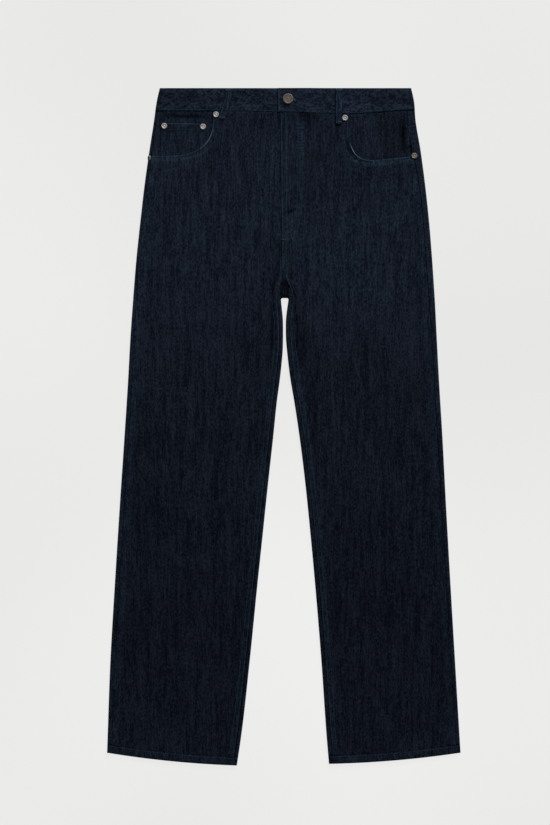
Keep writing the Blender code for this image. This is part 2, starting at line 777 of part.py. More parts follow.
def make_front_loop(name, loop):
    """A belt loop over the front of the band, a little proud of it, sewn down at both ends."""
    side = "left" if loop["top_x"] > 0 else "right"
    rows = []
    for share in (0.02, 0.1, 0.22, 0.36, 0.5, 0.64, 0.76, 0.86, 1.0):
        down = loop["length"] * share
        middle = mix(loop["top_x"], loop["end_x"], max(share - 0.3, 0.0) / 0.7)
        spots = [(middle + out, down + step) for out in (-6.0, 0.0, 6.0) for step in (-4.0, 0.0, 4.0)]
        under = [dressed_height(side, *spot) for spot in spots]
        height = max(under) + SEAM_GAP + 0.9 * math.sin(math.pi * min(share / 0.85, 1.0))
        row = []
        for across in (-0.5, -0.25, 0.0, 0.25, 0.5):
            crown = 0.25 * math.cos(math.pi * across)
            row.append((middle + LOOP_WIDTH * across, down, height + crown))
        rows.append(row)
    sheet(name, rows, LOOP_CLOTH, up=True, grow=1.0)


def make_back_loop(name, middle):
    """A belt loop under the back of the band, flat on the floor."""
    rows = []
    for down in (0.8, 4.0, BACK_LOOP_LENGTH / 2, BACK_LOOP_LENGTH - 4.0, BACK_LOOP_LENGTH):
        rows.append([(middle + LOOP_WIDTH * across, down, 0.0) for across in (-0.5, 0.0, 0.5)])
    sheet(name, rows, LOOP_CLOTH, up=False)


# ---- hems ----


def make_hem(side):
    """The turned-up hem: a flattened ring round the end of the leg."""
    rows = []
    for rise in (HEM_DEPTH, HEM_DEPTH / 2, 0.0):
        outer = outer_edge[side](HEM_OUTER - rise)
        inner = inner_edge[side](HEM_INNER - rise)
        half = HEM_HEIGHT / 2
        ring = []
        for angle in (90.0, 60.0, 30.0, 0.0, -30.0, -60.0, -90.0):
            turn = math.radians(angle)
            ring.append((outer - SIDES[side] * half * (1 - math.cos(turn)), half * (1 + math.sin(turn))))
        ring += [(mix(outer, inner, share), 0.0) for share in (0.12, 0.25, 0.38, 0.5, 0.62, 0.75, 0.88)]
        for angle in (-90.0, -60.0, -30.0, 0.0, 30.0, 60.0, 90.0):
            turn = math.radians(angle)
            ring.append((inner + SIDES[side] * half * (1 - math.cos(turn)), half * (1 + math.sin(turn))))
        shares = (0.88, 0.75, 0.62, 0.5, 0.38, 0.25, 0.12)
        ring += [(mix(outer, inner, share), HEM_HEIGHT) for share in shares]
        rows.append([(x, hem_line(side, x, rise), height) for x, height in ring])
    made = sheet(f"hem_{side}", rows, HEM_CLOTH, closed=True)
    if side == "left":
        made.data.flip_normals()


# ---- metal ----

RIVET_PROFILE = (
    (0.0, 1.5),
    (0.9, 1.4),
    (1.3, 1.0),
    (2.5, 1.0),
    (3.1, 1.8),
    (3.9, 1.8),
    (4.6, 1.1),
    (RIVET_RADIUS, 0.4),
    (RIVET_RADIUS, 0.0),
    (0.0, 0.0),
)


def carrier_height(carrier, x, down):
    if carrier == "coin":
        return COIN_HEIGHT
    side = "left" if x > 0 else "right"
    return dressed_height(side, x, down)


def make_rivet(name, rivet):
    """A rivet that sits on the highest cloth under its rim."""
    x, down = rivet["place"]
    under = [carrier_height(rivet["on"], x, down)]
    for angle in range(0, 360, 30):
        turn = math.radians(angle)
        reach = RIVET_RADIUS + 0.6
        under.append(carrier_height(rivet["on"], x + reach * math.cos(turn), down + reach * math.sin(turn)))
    at = place_mm(x, down, max(under) + SEAM_GAP)
    turned(name, RIVET_PROFILE, 20, SILVER, 0.35, at)


def make_side_rivet():
    """The rivet at the end of the right pocket mouth, on the side's fold, seen nearly edge-on."""
    rise = math.radians(SIDE_RIVET_RISE)
    look = Vector((-math.cos(rise), 0.0, math.sin(rise)))
    reach = -1000.0
    for step in (-5.0, -2.5, 0.0, 2.5, 5.0):
        station = outer_station("right", SIDE_RIVET_DOWN + step)
        wrap = fold_points("right", station, Vector((1.0, 0.0)), side_seam["right"](station[1]))
        reach = max(reach, max(Vector((x, 0.0, height)).dot(look) for x, down, height in wrap))
    high = RIVET_RADIUS * math.cos(rise) + 0.3
    x = -(reach + SEAM_GAP - high * look.z) / math.cos(rise)
    turned("rivet_side_right", RIVET_PROFILE, 20, SILVER, 0.35, place_mm(x, SIDE_RIVET_DOWN, high), look)


def make_button():
    """The shank button: its shank stands on the band's lower end and comes up through the keyhole."""
    base = LOWER_END_HEIGHT + SEAM_GAP
    rise = UPPER_END_HEIGHT + 0.4 - base
    profile = (
        (0.0, rise + 2.1),
        (2.2, rise + 2.0),
        (2.9, rise + 1.7),
        (5.2, rise + 1.8),
        (6.2, rise + 2.5),
        (7.3, rise + 2.6),
        (8.2, rise + 1.9),
        (BUTTON_RADIUS, rise + 1.0),
        (8.2, rise + 0.3),
        (7.2, rise),
        (SHANK_RADIUS, rise),
        (SHANK_RADIUS, 0.0),
        (0.0, 0.0),
    )
    turned("shank_button", profile, 32, ANTIQUE, 0.45, place_mm(*BUTTON_PLACE, base))


for one_side in SIDES:
    make_back(one_side)
    make_yoke(one_side)
    make_back_pocket(one_side)
    make_front(one_side)
    make_facing(one_side)
    make_hem(one_side)
make_coin_pocket()
make_waistband()
for loop_name, loop_sizes in FRONT_LOOPS.items():
    make_front_loop(loop_name, loop_sizes)
for loop_name, loop_middle in BACK_LOOPS.items():
    make_back_loop(loop_name, loop_middle)
for rivet_name, rivet_sizes in RIVETS.items():
    make_rivet(rivet_name, rivet_sizes)
make_side_rivet()
make_button()
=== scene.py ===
import math

import bpy
import numpy as np
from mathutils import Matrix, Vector
from mathutils.bvhtree import BVHTree


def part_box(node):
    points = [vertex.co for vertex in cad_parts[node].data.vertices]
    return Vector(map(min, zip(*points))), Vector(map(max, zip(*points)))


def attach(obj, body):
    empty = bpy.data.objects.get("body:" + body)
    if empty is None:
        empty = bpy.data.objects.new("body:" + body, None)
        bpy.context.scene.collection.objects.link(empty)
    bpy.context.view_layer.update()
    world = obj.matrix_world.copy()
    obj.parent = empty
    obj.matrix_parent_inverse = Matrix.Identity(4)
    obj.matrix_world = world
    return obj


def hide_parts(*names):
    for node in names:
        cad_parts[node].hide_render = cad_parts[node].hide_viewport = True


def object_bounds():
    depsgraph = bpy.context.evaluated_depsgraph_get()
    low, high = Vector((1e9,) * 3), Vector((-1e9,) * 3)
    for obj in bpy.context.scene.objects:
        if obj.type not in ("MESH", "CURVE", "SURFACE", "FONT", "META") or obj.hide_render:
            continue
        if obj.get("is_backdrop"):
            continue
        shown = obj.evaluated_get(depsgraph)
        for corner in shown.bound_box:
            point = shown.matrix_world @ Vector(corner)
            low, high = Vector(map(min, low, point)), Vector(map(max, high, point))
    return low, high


# Jeans laid flat on their back. Places are (x, down) in millimetres, down from the waist's top edge,
# heights are above the floor, and the wearer's own right lies at -x.

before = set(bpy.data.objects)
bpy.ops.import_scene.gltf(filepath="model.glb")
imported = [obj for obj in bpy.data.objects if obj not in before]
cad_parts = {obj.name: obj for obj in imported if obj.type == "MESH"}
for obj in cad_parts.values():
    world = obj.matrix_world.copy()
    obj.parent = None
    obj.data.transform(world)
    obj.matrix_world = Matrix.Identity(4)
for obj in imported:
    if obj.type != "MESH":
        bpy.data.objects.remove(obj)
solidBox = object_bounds()
print("frame loaded,", len(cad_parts), "nodes")

mm = 0.001
sides = {"right": -1, "left": 1}

# The garment's own cut, the same as the solids'. "where" holds the downs at which a thing starts, is full,
# starts to end and has ended.
cut = {
    "length": 1081.5,
    "centre": 1.1,
    "seamGap": 0.3,
    "slopeGap": 0.08,
    "seatLift": 1.8,  # the seat rests on the back pockets and loops
    "seatEnd": 280.0,
    "floorStart": 306.0,
    "leastWall": 2.85,  # both walls of a leg, lying on each other
    # down, right side, left side
    "outerEdge": (
        (0, -198.7, 203.9), (19, -203, 208.2), (51, -207.7, 211), (99, -215, 218.9), (147, -221.9, 225.4),
        (211, -229.4, 232.4), (275, -236.2, 237.6), (339, -241.4, 241.9), (403, -245.9, 245.2),
        (467, -249.4, 248.6), (563, -255.6, 254.4), (659, -262.1, 259.4), (787, -270.2, 266.6),
        (915, -277.7, 274.2), (1062, -283.1, 283.1),
    ),
    "innerEdge": (
        (339, -4.5, 7.4), (355, -2.9, 5.1), (371, -1.4, 3.4), (387, -1.1, 3.1), (403, -1.2, 3.5),
        (419, -1.6, 4.9), (435, -2.9, 6.6), (467, -6.4, 10.7), (499, -10.7, 16.2), (563, -17.4, 25.8),
        (627, -24.5, 33.7), (723, -34.6, 43.5), (787, -41.4, 49.4), (915, -54.4, 60), (1043, -69.4, 69),
        (1081.5, -75.2, 72.3),
    ),
    "notchDown": 336.0,
    "notchCorner": 2.6,
    # x, down
    "bandFront": ((-207, 36.3), (-60, 37.4), (0, 38.8), (60, 40.4), (108, 41.2), (157, 37.9), (211, 33.9)),
    "bandBack": ((-207, 36.3), (1.1, 38), (211, 33.9)),
    # down, x
    "centreFront": ((33, -5.2), (140, -4.4), (240, -3.5), (300, -2.6), (325, 0.9)),
    "flyTuck": 7.0,
    "flyEnd": 236.0,
    # rise beside the fly, from and to this far past the centre front
    "lap": {"right": (-0.4, 2, 18), "left": (1.3, 14, 38)},
    "lapFade": (22, 50),  # below the fly's end
    # down, right side, left side
    "sideSeam": (
        (33, 3.4, 13), (90, 3.4, 15), (112, 3.4, 13), (150, 3.6, 10.4), (275, 4.4, 10.4), (420, 6, 8.8),
        (600, 7.2, 8.4), (1062, 7.2, 6.6),
    ),
    "inseam": 6.4,
    # station, share of the way out, down
    "fork": (
        (0, 0, 306), (0.5, 0.20, 308.6), (1, 0.40, 311.6), (1.5, 0.60, 315.4), (2, 0.78, 320.6),
        (2.5, 0.91, 328), (3, 1, 338.6),
    ),
    # down, height
    "middleHeight": ((0, 6.4), (110, 6.4), (200, 6), (300, 5.2), (400, 4.3), (520, 3.9), (1062, 3.9)),
    "outerHeight": ((0, 5), (90, 5), (150, 6.4), (300, 6.2), (450, 5.6), (1062, 5)),
    "innerHeight": ((336, 4.9), (380, 5.6), (500, 5.4), (1062, 5)),
    "edgeReach": 13.0,
    "valley": {"depth": 1.9, "width": 7.0, "where": (288, 322, 332, 354)},  # between the legs' tops
    "trough": {"depth": 0.9, "width": 4.5, "where": (312, 340, 380, 430)},  # beside the fell
    "troughInside": 11.0,
    "yokeSide": 58.0,
    "yokeCentre": 100.0,
    "hemDepth": 13.0,
    "hemOuter": 1062.0,
    "hemInner": 1081.5,
    "hemBulge": 3.5,
    "hemHeight": 4.9,
    # the dressed legs hang this much lower than the solids, at the outer and inner edge
    "hemDrop": {"right": (2.0, 3.0), "left": (1.9, 0.3)},
    "dropFrom": (850, 1045),
}

mouths = {
    "right": {"frontX": -113.3, "depth": 73.0, "squareness": 3.3, "lift": 0.8, "height": 7.2},
    "left": {"frontX": 103.5, "depth": 80.4, "squareness": 5.0, "lift": 6.1, "height": 6.9},
}
mouthCut = {
    "end": 108.5, "flat": 12.0, "fade": 26.0, "tuck": 8.0,
    "facingHeight": 4.3, "facingEdge": {"rise": 0.6, "width": 7.0, "fade": (84, 98)},
}


def smoothCurve(rows, column=1):
    places = np.array([row[0] for row in rows], float)
    values = np.array([row[column] for row in rows], float)
    slopes = np.gradient(values, places)

    def at(place):
        place = np.clip(place, places[0], places[-1])
        index = np.clip(np.searchsorted(places, place, side="right") - 1, 0, len(places) - 2)
        span = places[index + 1] - places[index]
        t = (place - places[index]) / span
        start = values[index] * (1 + 2 * t) * (1 - t) ** 2 + slopes[index] * span * t * (1 - t) ** 2
        end = values[index + 1] * t * t * (3 - 2 * t) + slopes[index + 1] * span * t * t * (t - 1)
        return start + end

    return at


def ramp(value, start, end):
    t = np.clip((value - start) / (end - start), 0, 1)
    return t * t * (3 - 2 * t)


def fade(value, start, end):
    return 1 - ramp(value, start, end)


def between(value, start, full, ending, end):
    return ramp(value, start, full) * fade(value, ending, end)


def mix(start, end, share):
    return start + (end - start) * share


def bell(distance, width):
    # 1 at no distance, dying away on both sides
    return np.exp(-((distance / width) ** 2))


def stacked(*parts):
    # points whose coordinates are these parts
    return np.stack(np.broadcast_arrays(*parts), axis=-1)


outerEdge, innerEdge, sideSeam = (
    {side: smoothCurve(cut[key], column) for column, side in enumerate(sides, 1)}
    for key in ("outerEdge", "innerEdge", "sideSeam")
)
curves = ("bandFront", "centreFront", "middleHeight", "outerHeight", "innerHeight")
bandFront, centreFront, middleHeight, outerHeight, innerHeight = (smoothCurve(cut[key]) for key in curves)


def bandBack(x):
    return np.interp(x, *zip(*cut["bandBack"]))


def seatLift(down):
    return cut["seatLift"] * fade(down, cut["seatEnd"], cut["floorStart"])


def legShare(side, x, down):
    # 0 at a leg's outer edge, 1 at its inner edge
    outer = outerEdge[side](down)
    return np.clip((x - outer) / (innerEdge[side](down) - outer), 0, 1)


def hemDrop(side, share):
    return cut["hemBulge"] * 4 * share * (1 - share) + mix(*cut["hemDrop"][side], share)


def hemSag(side, x, down):
    return hemDrop(side, legShare(side, x, down)) * ramp(down, *cut["dropFrom"])


def hemLine(side, x, rise):
    # the line that runs this far above the hem's lower edge
    share = legShare(side, x, cut["hemOuter"] - rise)
    return mix(cut["hemOuter"], cut["hemInner"], share) - rise + hemDrop(side, share)


def seamX(side, down):
    return outerEdge[side](down) - sides[side] * sideSeam[side](down)


def mouthPoint(side, share, tuck=0.0):
    mouth = mouths[side]
    x = mix(seamX(side, mouthCut["end"]), mouth["frontX"] - sides[side] * tuck, share)
    fall = (1 - share ** mouth["squareness"]) ** (1 / mouth["squareness"])
    return x, bandFront(x) + (mouth["depth"] + tuck) * fall - mouth["lift"] * (1 - share) ** 2 * fall


def alongLine(points):
    steps = np.hypot(*np.diff(points, axis=0).T)
    return np.concatenate(([0.0], np.cumsum(steps)))


def onLine(place, places, line):
    return stacked(np.interp(place, places, line[:, 0]), np.interp(place, places, line[:, 1]))


def evenPoints(points, count):
    along = alongLine(points)
    return onLine(np.linspace(0, along[-1], count), along, np.array(points, float))


def mouthLine(side, count, tuck=0.0):
    # from the waist seam round to the side seam
    share = np.cos(np.radians(np.linspace(0, 90, 240))) ** 0.4
    return evenPoints(stacked(*mouthPoint(side, share, tuck)), count)


def smoothLine(points, count=80):
    rows = [(order, *point) for order, point in enumerate(points)]
    fine = np.linspace(0, len(points) - 1, count)
    return stacked(smoothCurve(rows)(fine), smoothCurve(rows, 2)(fine))


mouthSamples = {side: mouthLine(side, 160) for side in sides}


def lineDistance(line, x, down, reach):
    # how far each place is from a line, and how far along the line, for places within reach
    x, down = np.asarray(x, float), np.asarray(down, float)
    gap = np.full(x.shape, 1e3)
    along = np.zeros(x.shape)
    low = line.min(axis=0) - reach
    high = line.max(axis=0) + reach
    near = (x > low[0]) & (x < high[0]) & (down > low[1]) & (down < high[1])
    if near.any():
        apart = (x[near][:, None] - line[:, 0]) ** 2 + (down[near][:, None] - line[:, 1]) ** 2
        index = apart.argmin(axis=1)
        gap[near] = np.sqrt(apart[np.arange(len(index)), index])
        along[near] = alongLine(line)[index]
    return gap, along


def innerDistance(side, x, down):
    beside = np.abs(x - innerEdge[side](down))
    half = abs(innerEdge[side](cut["notchDown"]) - cut["centre"])
    above = np.hypot(np.maximum(np.abs(x - cut["centre"]) - half, 0), cut["notchDown"] - down)
    return np.where(down >= cut["notchDown"], beside, above)


def lyingHeight(side, x, down):
    # the front's upper face, before creases and seams
    middle = middleHeight(down)
    inside = innerDistance(side, x, down)
    height = middle + (outerHeight(down) - middle) * bell(x - outerEdge[side](down), cut["edgeReach"])
    height = height + (innerHeight(down) - middle) * bell(inside, cut["edgeReach"])
    for name, distance in ("valley", x - cut["centre"]), ("trough", inside - cut["troughInside"]):
        hollow = cut[name]
        height = height - hollow["depth"] * bell(distance, hollow["width"]) * between(down, *hollow["where"])
    reach = (mouthCut["flat"], mouthCut["flat"] + mouthCut["fade"])
    gap, along = lineDistance(mouthSamples[side], x, down, reach[1])
    height += np.maximum(mouths[side]["height"] - height, 0) * fade(gap, *reach)
    lap, start, end = cut["lap"][side]
    ending = [cut["flyEnd"] + below for below in cut["lapFade"]]
    height += lap * fade(down, *ending) * fade((x - centreFront(down)) * sides[side], start, end)
    return np.maximum(height, seatLift(down) + cut["leastWall"])


def facingHeight(side, x, down):
    edge = mouthCut["facingEdge"]
    atSeam = bell(x - seamX(side, down), edge["width"]) * fade(down, *edge["fade"])
    return mouthCut["facingHeight"] + edge["rise"] * atSeam


def unevenness(x, y, size, seed):
    # a smooth random field from about -1 to 1, its bumps this many millimetres apart
    lattice = np.random.default_rng(seed).uniform(-1, 1, (64, 64))
    u, v = np.asarray(x, float) / size, np.asarray(y, float) / size
    column, row = np.floor(u).astype(int), np.floor(v).astype(int)
    s, t = ramp(u - column, 0, 1), ramp(v - row, 0, 1)
    corner = lambda right, below: lattice[(column + right) % 64, (row + below) % 64]
    return mix(mix(corner(0, 0), corner(1, 0), s), mix(corner(0, 1), corner(1, 1), s), t)


def edgeRoll(gap, radius=1.3):
    # how far a turned edge falls away, this far in from it
    share = np.clip(1 - np.asarray(gap, float) / radius, 0, 1)
    return radius * (1 - np.sqrt(1 - share**2))


# Creases, listed: start, middle, end, width, rise
creases = {
    "right": (
        ((-214, 150), (-203, 205), (-184, 262), 7.0, -1.1),
        ((-125, 112), (-116, 146), (-106, 186), 8.0, -0.7),
        ((-152, 118), (-160, 150), (-171, 186), 9.0, 0.5),
        ((-70, 60), (-62, 118), (-66, 190), 10.0, 0.45),
        ((-40, 150), (-36, 215), (-44, 285), 9.0, -0.5),
        ((-118, 210), (-98, 258), (-60, 296), 16.0, 0.7),
        ((-206, 300), (-150, 330), (-84, 340), 14.0, -0.5),
        ((-15, 318), (-21, 362), (-27, 428), 5.5, -0.9),
        ((-52, 330), (-46, 388), (-52, 452), 10.0, 0.6),
        ((-118, 520), (-84, 513), (-48, 498), 6.0, -0.8),
        ((-150, 548), (-105, 546), (-72, 524), 8.0, 0.6),
        ((-130, 606), (-99, 573), (-62, 548), 9.0, -1.2),
        ((-196, 560), (-170, 612), (-176, 672), 12.0, -0.7),
        ((-120, 640), (-92, 690), (-98, 752), 14.0, -0.7),
        ((-232, 700), (-205, 752), (-212, 820), 12.0, 0.6),
        ((-160, 742), (-140, 800), (-148, 868), 12.0, 0.55),
        ((-222, 905), (-203, 958), (-206, 1020), 15.0, -0.8),
        ((-122, 880), (-106, 944), (-112, 1005), 13.0, -0.8),
        ((-168, 930), (-158, 985), (-166, 1035), 11.0, 0.5),
    ),
    "left": (
        ((112, 112), (118, 142), (116, 182), 8.0, -0.9),
        ((-3, 197), (10, 192), (25, 185), 6.0, -0.9),
        ((14, 168), (38, 180), (64, 178), 9.0, -0.7),
        ((20, 204), (40, 214), (70, 214), 9.0, 0.5),
        ((70, 62), (62, 110), (70, 166), 10.0, -0.6),
        ((150, 140), (158, 190), (150, 244), 12.0, 0.5),
        ((196, 160), (200, 220), (192, 290), 9.0, -0.5),
        ((60, 240), (100, 300), (92, 384), 26.0, 0.9),
        ((22, 408), (92, 396), (168, 404), 7.0, -0.7),
        ((5, 336), (22, 398), (45, 498), 8.5, -1.4),
        ((38, 352), (62, 430), (66, 520), 11.0, 0.7),
        ((112, 404), (118, 480), (112, 560), 12.0, -0.6),
        ((150, 420), (168, 500), (160, 590), 14.0, 0.5),
        ((176, 590), (196, 650), (190, 716), 12.0, -0.7),
        ((170, 752), (188, 800), (176, 858), 14.0, -0.9),
        ((84, 620), (92, 690), (84, 752), 12.0, 0.5),
        ((120, 700), (142, 760), (136, 830), 13.0, 0.5),
        ((88, 886), (102, 926), (94, 974), 13.0, -0.8),
        ((140, 940), (152, 985), (146, 1030), 12.0, -0.6),
        ((206, 900), (218, 960), (214, 1020), 12.0, 0.5),
    ),
    "back": (
        ((-190, 300), (-110, 318), (-40, 300), 10.0, 0.6),
        ((190, 306), (120, 322), (44, 304), 9.0, 0.7),
        ((-228, 560), (-150, 572), (-60, 552), 8.0, 0.7),
        ((-220, 612), (-140, 598), (-52, 622), 7.0, 0.5),
        ((230, 548), (150, 560), (70, 540), 7.5, 0.6),
        ((236, 604), (160, 618), (66, 600), 8.5, 0.7),
        ((-200, 760), (-160, 840), (-170, 930), 12.0, 0.6),
        ((150, 720), (140, 820), (156, 900), 12.0, 0.5),
    ),
}


def fadingLine(line, x, down, width, reach, sharpness):
    # 1 on the line, dying away beside it and at both ends
    gap, along = lineDistance(line, x, down, reach * width)
    share = np.clip(along / alongLine(line)[-1], 0, 1)
    return bell(gap, width) * np.sin(np.pi * share) ** sharpness


def creaseRise(folds, x, down):
    # soft troughs and ridges that die out at both ends
    total = np.zeros(np.shape(x))
    t = np.linspace(0, 1, 48)[:, None]
    for start, middle, end, width, rise in folds:
        start, middle, end = np.array((start, middle, end), float)
        pull = 2 * middle - (start + end) / 2
        line = (1 - t) ** 2 * start + 2 * t * (1 - t) * pull + t * t * end
        total += rise * fadingLine(line, x, down, width, 3, 0.8)
    return total


def toWorld(points):
    points = np.asarray(points, float)
    return stacked(points[..., 0], cut["length"] / 2 - points[..., 1], points[..., 2]) * mm


def linked(name, data):
    made = bpy.data.objects.new(name, data)
    bpy.context.scene.collection.objects.link(made)
    return made


def makeMesh(name, verts, faces, fields=None):
    mesh = bpy.data.meshes.new(name)
    mesh.from_pydata(np.asarray(verts).tolist(), [], [list(face) for face in faces])
    for field, values in (fields or {}).items():
        layer = mesh.attributes.new(field, "FLOAT", "POINT")
        layer.data.foreach_set("value", np.asarray(values, np.float32).ravel())
    mesh.update()
    mesh.shade_smooth()
    return linked(name, mesh)


def weave(rows, closed=False):
    # faces over rows of points, which may be of unlike length
    starts = np.cumsum([0] + [len(row) for row in rows])
    faces = []
    for first, second, row, following in zip(starts, starts[1:], rows, rows[1:]):
        reach = min(len(row), len(following))
        columns = np.arange(reach if closed else reach - 1)
        after = (columns + 1) % reach
        faces.append(stacked(first + columns, first + after, second + after, second + columns))
    return np.concatenate(faces)


pieces = {}


def dress(name, solid, rows, thickness, up=None, flip=False, closed=False, wear=None):
    # a closed cloth wall whose outer face runs through the rows, in place of a solid
    faces = weave(rows, closed)
    points = np.concatenate(rows)
    verts = toWorld(points)
    if up is not None:
        a, b, c = (verts[faces[:, corner]] for corner in (0, 1, 2))
        flip = (np.cross(b - a, c - a)[:, 2].sum() > 0) != up
    if flip:
        faces = faces[:, ::-1]
    fields = {
        "wear": np.zeros(len(points)) if wear is None else np.concatenate(wear),
        # the cloth's tone, with painted light and painted shade in it
        "tone": clothToneAndPaintedLight(points[:, 0], points[:, 1]),
    }
    pieces[name] = makeMesh(name, verts, faces, fields)
    wall = pieces[name].modifiers.new("cloth", "SOLIDIFY")
    wall.thickness = thickness * mm
    wall.offset = -1.0
    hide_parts(solid)


# How pale the cloth is at each place: the dye's own tone, with painted light and painted shade mixed into it
dyeToneAndPaintedLight = {
    # down, how pale against the hips: darker toward the hems, a little paler again at the very bottom
    "fall": (
        (0, 1.0), (250, 1.07), (395, 0.87), (500, 0.70), (611, 0.60), (760, 0.47), (915, 0.40), (1000, 0.43),
        (1070, 0.56),
    ),
    # lines of painted shade where creases, seams and edges lie in shade, or painted light where they stand
    # proud: points, width, change
    "lines": (
        (((-7, 240), (-8.5, 280), (-13, 305), (-17, 322), (-17, 350), (-18, 400), (-23, 450)), 4.2, -0.76),
        (((-44, 318), (-42, 400), (-42, 486)), 5.0, -0.24),
        (((20, 366), (37, 435), (45, 499), (53, 563), (63, 640)), 9.0, -0.22),
        (((9, 240), (11, 280), (12.5, 312), (16, 332), (19, 352), (20, 400), (27, 450)), 4.2, -0.62),
        (((20, 40), (20, 110), (20, 190)), 4.6, -0.30),
        (((2, 42.5), (24, 43.0), (62, 44)), 4.5, -0.42),
        (((-4, 200), (8, 199), (22, 193.5)), 3.2, -0.80),
        (((-190, 43.2), (-160, 45.2), (-131, 45.2), (-117, 53)), 2.6, -0.95),
        (((103.4, 74), (104.0, 90), (108.4, 103), (114, 111)), 3.4, -0.95),
        (((191.5, 42), (191.2, 76), (190.8, 106)), 4.0, -0.62),
        (((120, 107), (137, 111), (154, 111.5), (172, 110.5), (190, 107)), 2.4, -0.45),
        (((19.4, 20.4), (23.4, 20.2)), 1.7, -0.85),
        (((-8.2, 40), (-7.6, 140), (-6.6, 250), (-5.8, 290)), 2.0, -0.34),
        (((27, 50), (27, 110), (26, 165), (22, 205)), 1.6, -0.30),
        (((38, 46), (38, 110), (37, 170), (28, 220), (8, 250)), 4.0, -0.20),
        (((20, 60), (20, 110), (19.5, 165)), 1.4, -0.22),
        (((20, 404), (90, 394), (170, 402)), 9.0, -0.14),
    ),
    # down, half width of the painted shade above the fork
    "fork": ((302, 0.3), (309, 5.0), (315, 7.0), (326, 7.4), (340, 7.0)),
    "forkWhere": (300, 313, 337, 341),
    # x, down, reach across, reach down, change: painted patches of light and shade, some of them the dye's
    # own tone
    "patches": (
        (-14, 140, 8, 70, 0.16), (11, 193, 11, 5.5, -0.50), (25, 175, 5, 9, -0.45),
        (-110, 16, 90, 5.5, -0.24), (160, 15.5, 34, 6.5, -0.42), (-80, 30, 130, 5.5, 0.20),
        (50, 29, 70, 6.5, 0.24), (170, 31, 50, 5.0, 0.34), (202, 70, 6, 34, 0.34),
        (12, 226, 10, 12, 0.12), (52, 120, 22, 64, -0.18), (104, 18, 120, 24, 0.35),
        (-110, 18, 100, 22, 0.12), (100, 322, 84, 92, 0.20), (-6, 96, 34, 44, 0.10),
        (-150, 120, 60, 30, 0.06), (2, 308, 18, 34, -0.20), (30, 380, 24, 60, -0.16),
        (-24, 356, 16, 60, -0.10), (60, 95, 44, 50, -0.10), (176, 70, 30, 42, -0.48),
        (-98, 575, 40, 34, -0.08), (-168, 115, 30, 7, 0.26), (-124, 125, 11, 27, -0.34),
        (-206, 82, 5, 16, -0.36), (-36, 250, 10, 26, -0.20), (-17, 48, 10, 14, -0.14),
        (-150, 128, 40, 12, 0.06), (166, 74, 22, 26, -0.07), (115, 180, 70, 50, -0.04),
    ),
    "knee": {"x": 110, "width": 90, "change": 0.10, "where": (386, 408, 408, 560)},
    "clouds": ((0.07, 26, 11), (0.05, 70, 12)),  # change, size, seed
    "edges": {"change": 0.16, "width": 12, "from": (120, 200)},
    "least": 0.1,
    # how deep the painted shade in the fork is
    "forkDark": 0.93,
}
paleAlongDown = smoothCurve(dyeToneAndPaintedLight["fall"])


def forkShade(x, down):
    # painted shade where the legs part, with the crotch seam's end a little paler in it
    half = smoothCurve(dyeToneAndPaintedLight["fork"])(down)
    shade = fade(np.abs(x - cut["centre"]), half - 0.8, half + 1.2) * between(down, *dyeToneAndPaintedLight["forkWhere"])
    return shade * (0.80 + 0.20 * ramp(down, 325, 328)) * (1 - 0.6 * bell(down - 324.6, 0.9))


def clothToneAndPaintedLight(x, down):
    # how pale the cloth is here, 1 at the hips: the dye's tone, with painted light and painted shade laid
    # into it
    tone = paleAlongDown(down)
    for placeX, placeDown, across, along, change in dyeToneAndPaintedLight["patches"]:
        tone = tone + change * bell(x - placeX, across) * bell(down - placeDown, along)
    for points, width, change in dyeToneAndPaintedLight["lines"]:
        tone += change * fadingLine(smoothLine(points), x, down, width, 2.5, 0.35)
    knee, edges = dyeToneAndPaintedLight["knee"], dyeToneAndPaintedLight["edges"]
    tone -= knee["change"] * bell(x - knee["x"], knee["width"]) * between(down, *knee["where"])
    for change, size, seed in dyeToneAndPaintedLight["clouds"]:
        tone += change * unevenness(x + 900, down, size, seed)
    side = np.where(x < cut["centre"], outerEdge["right"](down) - x, x - outerEdge["left"](down))
    tone += edges["change"] * bell(side, edges["width"]) * ramp(down, *edges["from"])
    return np.maximum(tone, dyeToneAndPaintedLight["least"]) * (1 - dyeToneAndPaintedLight["forkDark"] * forkShade(x, down))


# Stations down the panels' edges, between which finer rows are laid
stations = {
    "mouth": 12,
    "seat": (mouthCut["end"], 132, 160, 196, 232, 264, 294),
    "leg": (318, 324, 330, 336, 346, 360, 379, 400, 425, 455, 495, 545, *range(605, 1026, 60)),
    "inner": (350, 364, 383, 404, 429, 459, 500, 551, *range(612, 1041, 61)),
    "centreFront": (*range(48, 180, 13), 190, 208, 224, 240, 256, 278, 302),
    "backOuter": (cut["yokeSide"] + 0.3, 82, mouthCut["end"], 132, 160, 196, 232, 264, 294, 318),
    "backInner": (cut["yokeCentre"] + 0.3, 124, 149, 175, 202, 229, 256, 281, 307, cut["notchDown"] - 2.1),
}
hemTop = {edge: cut[f"hem{edge}"] - cut["hemDepth"] - cut["seamGap"] for edge in ("Outer", "Inner")}


def unit(vectors):
    return vectors / np.linalg.norm(vectors, axis=1)[:, None]


def leftOf(line):
    # unit directions across a line, to its right as it runs down
    step = unit(np.gradient(line, axis=0))
    return stacked(step[:, 1], -step[:, 0])


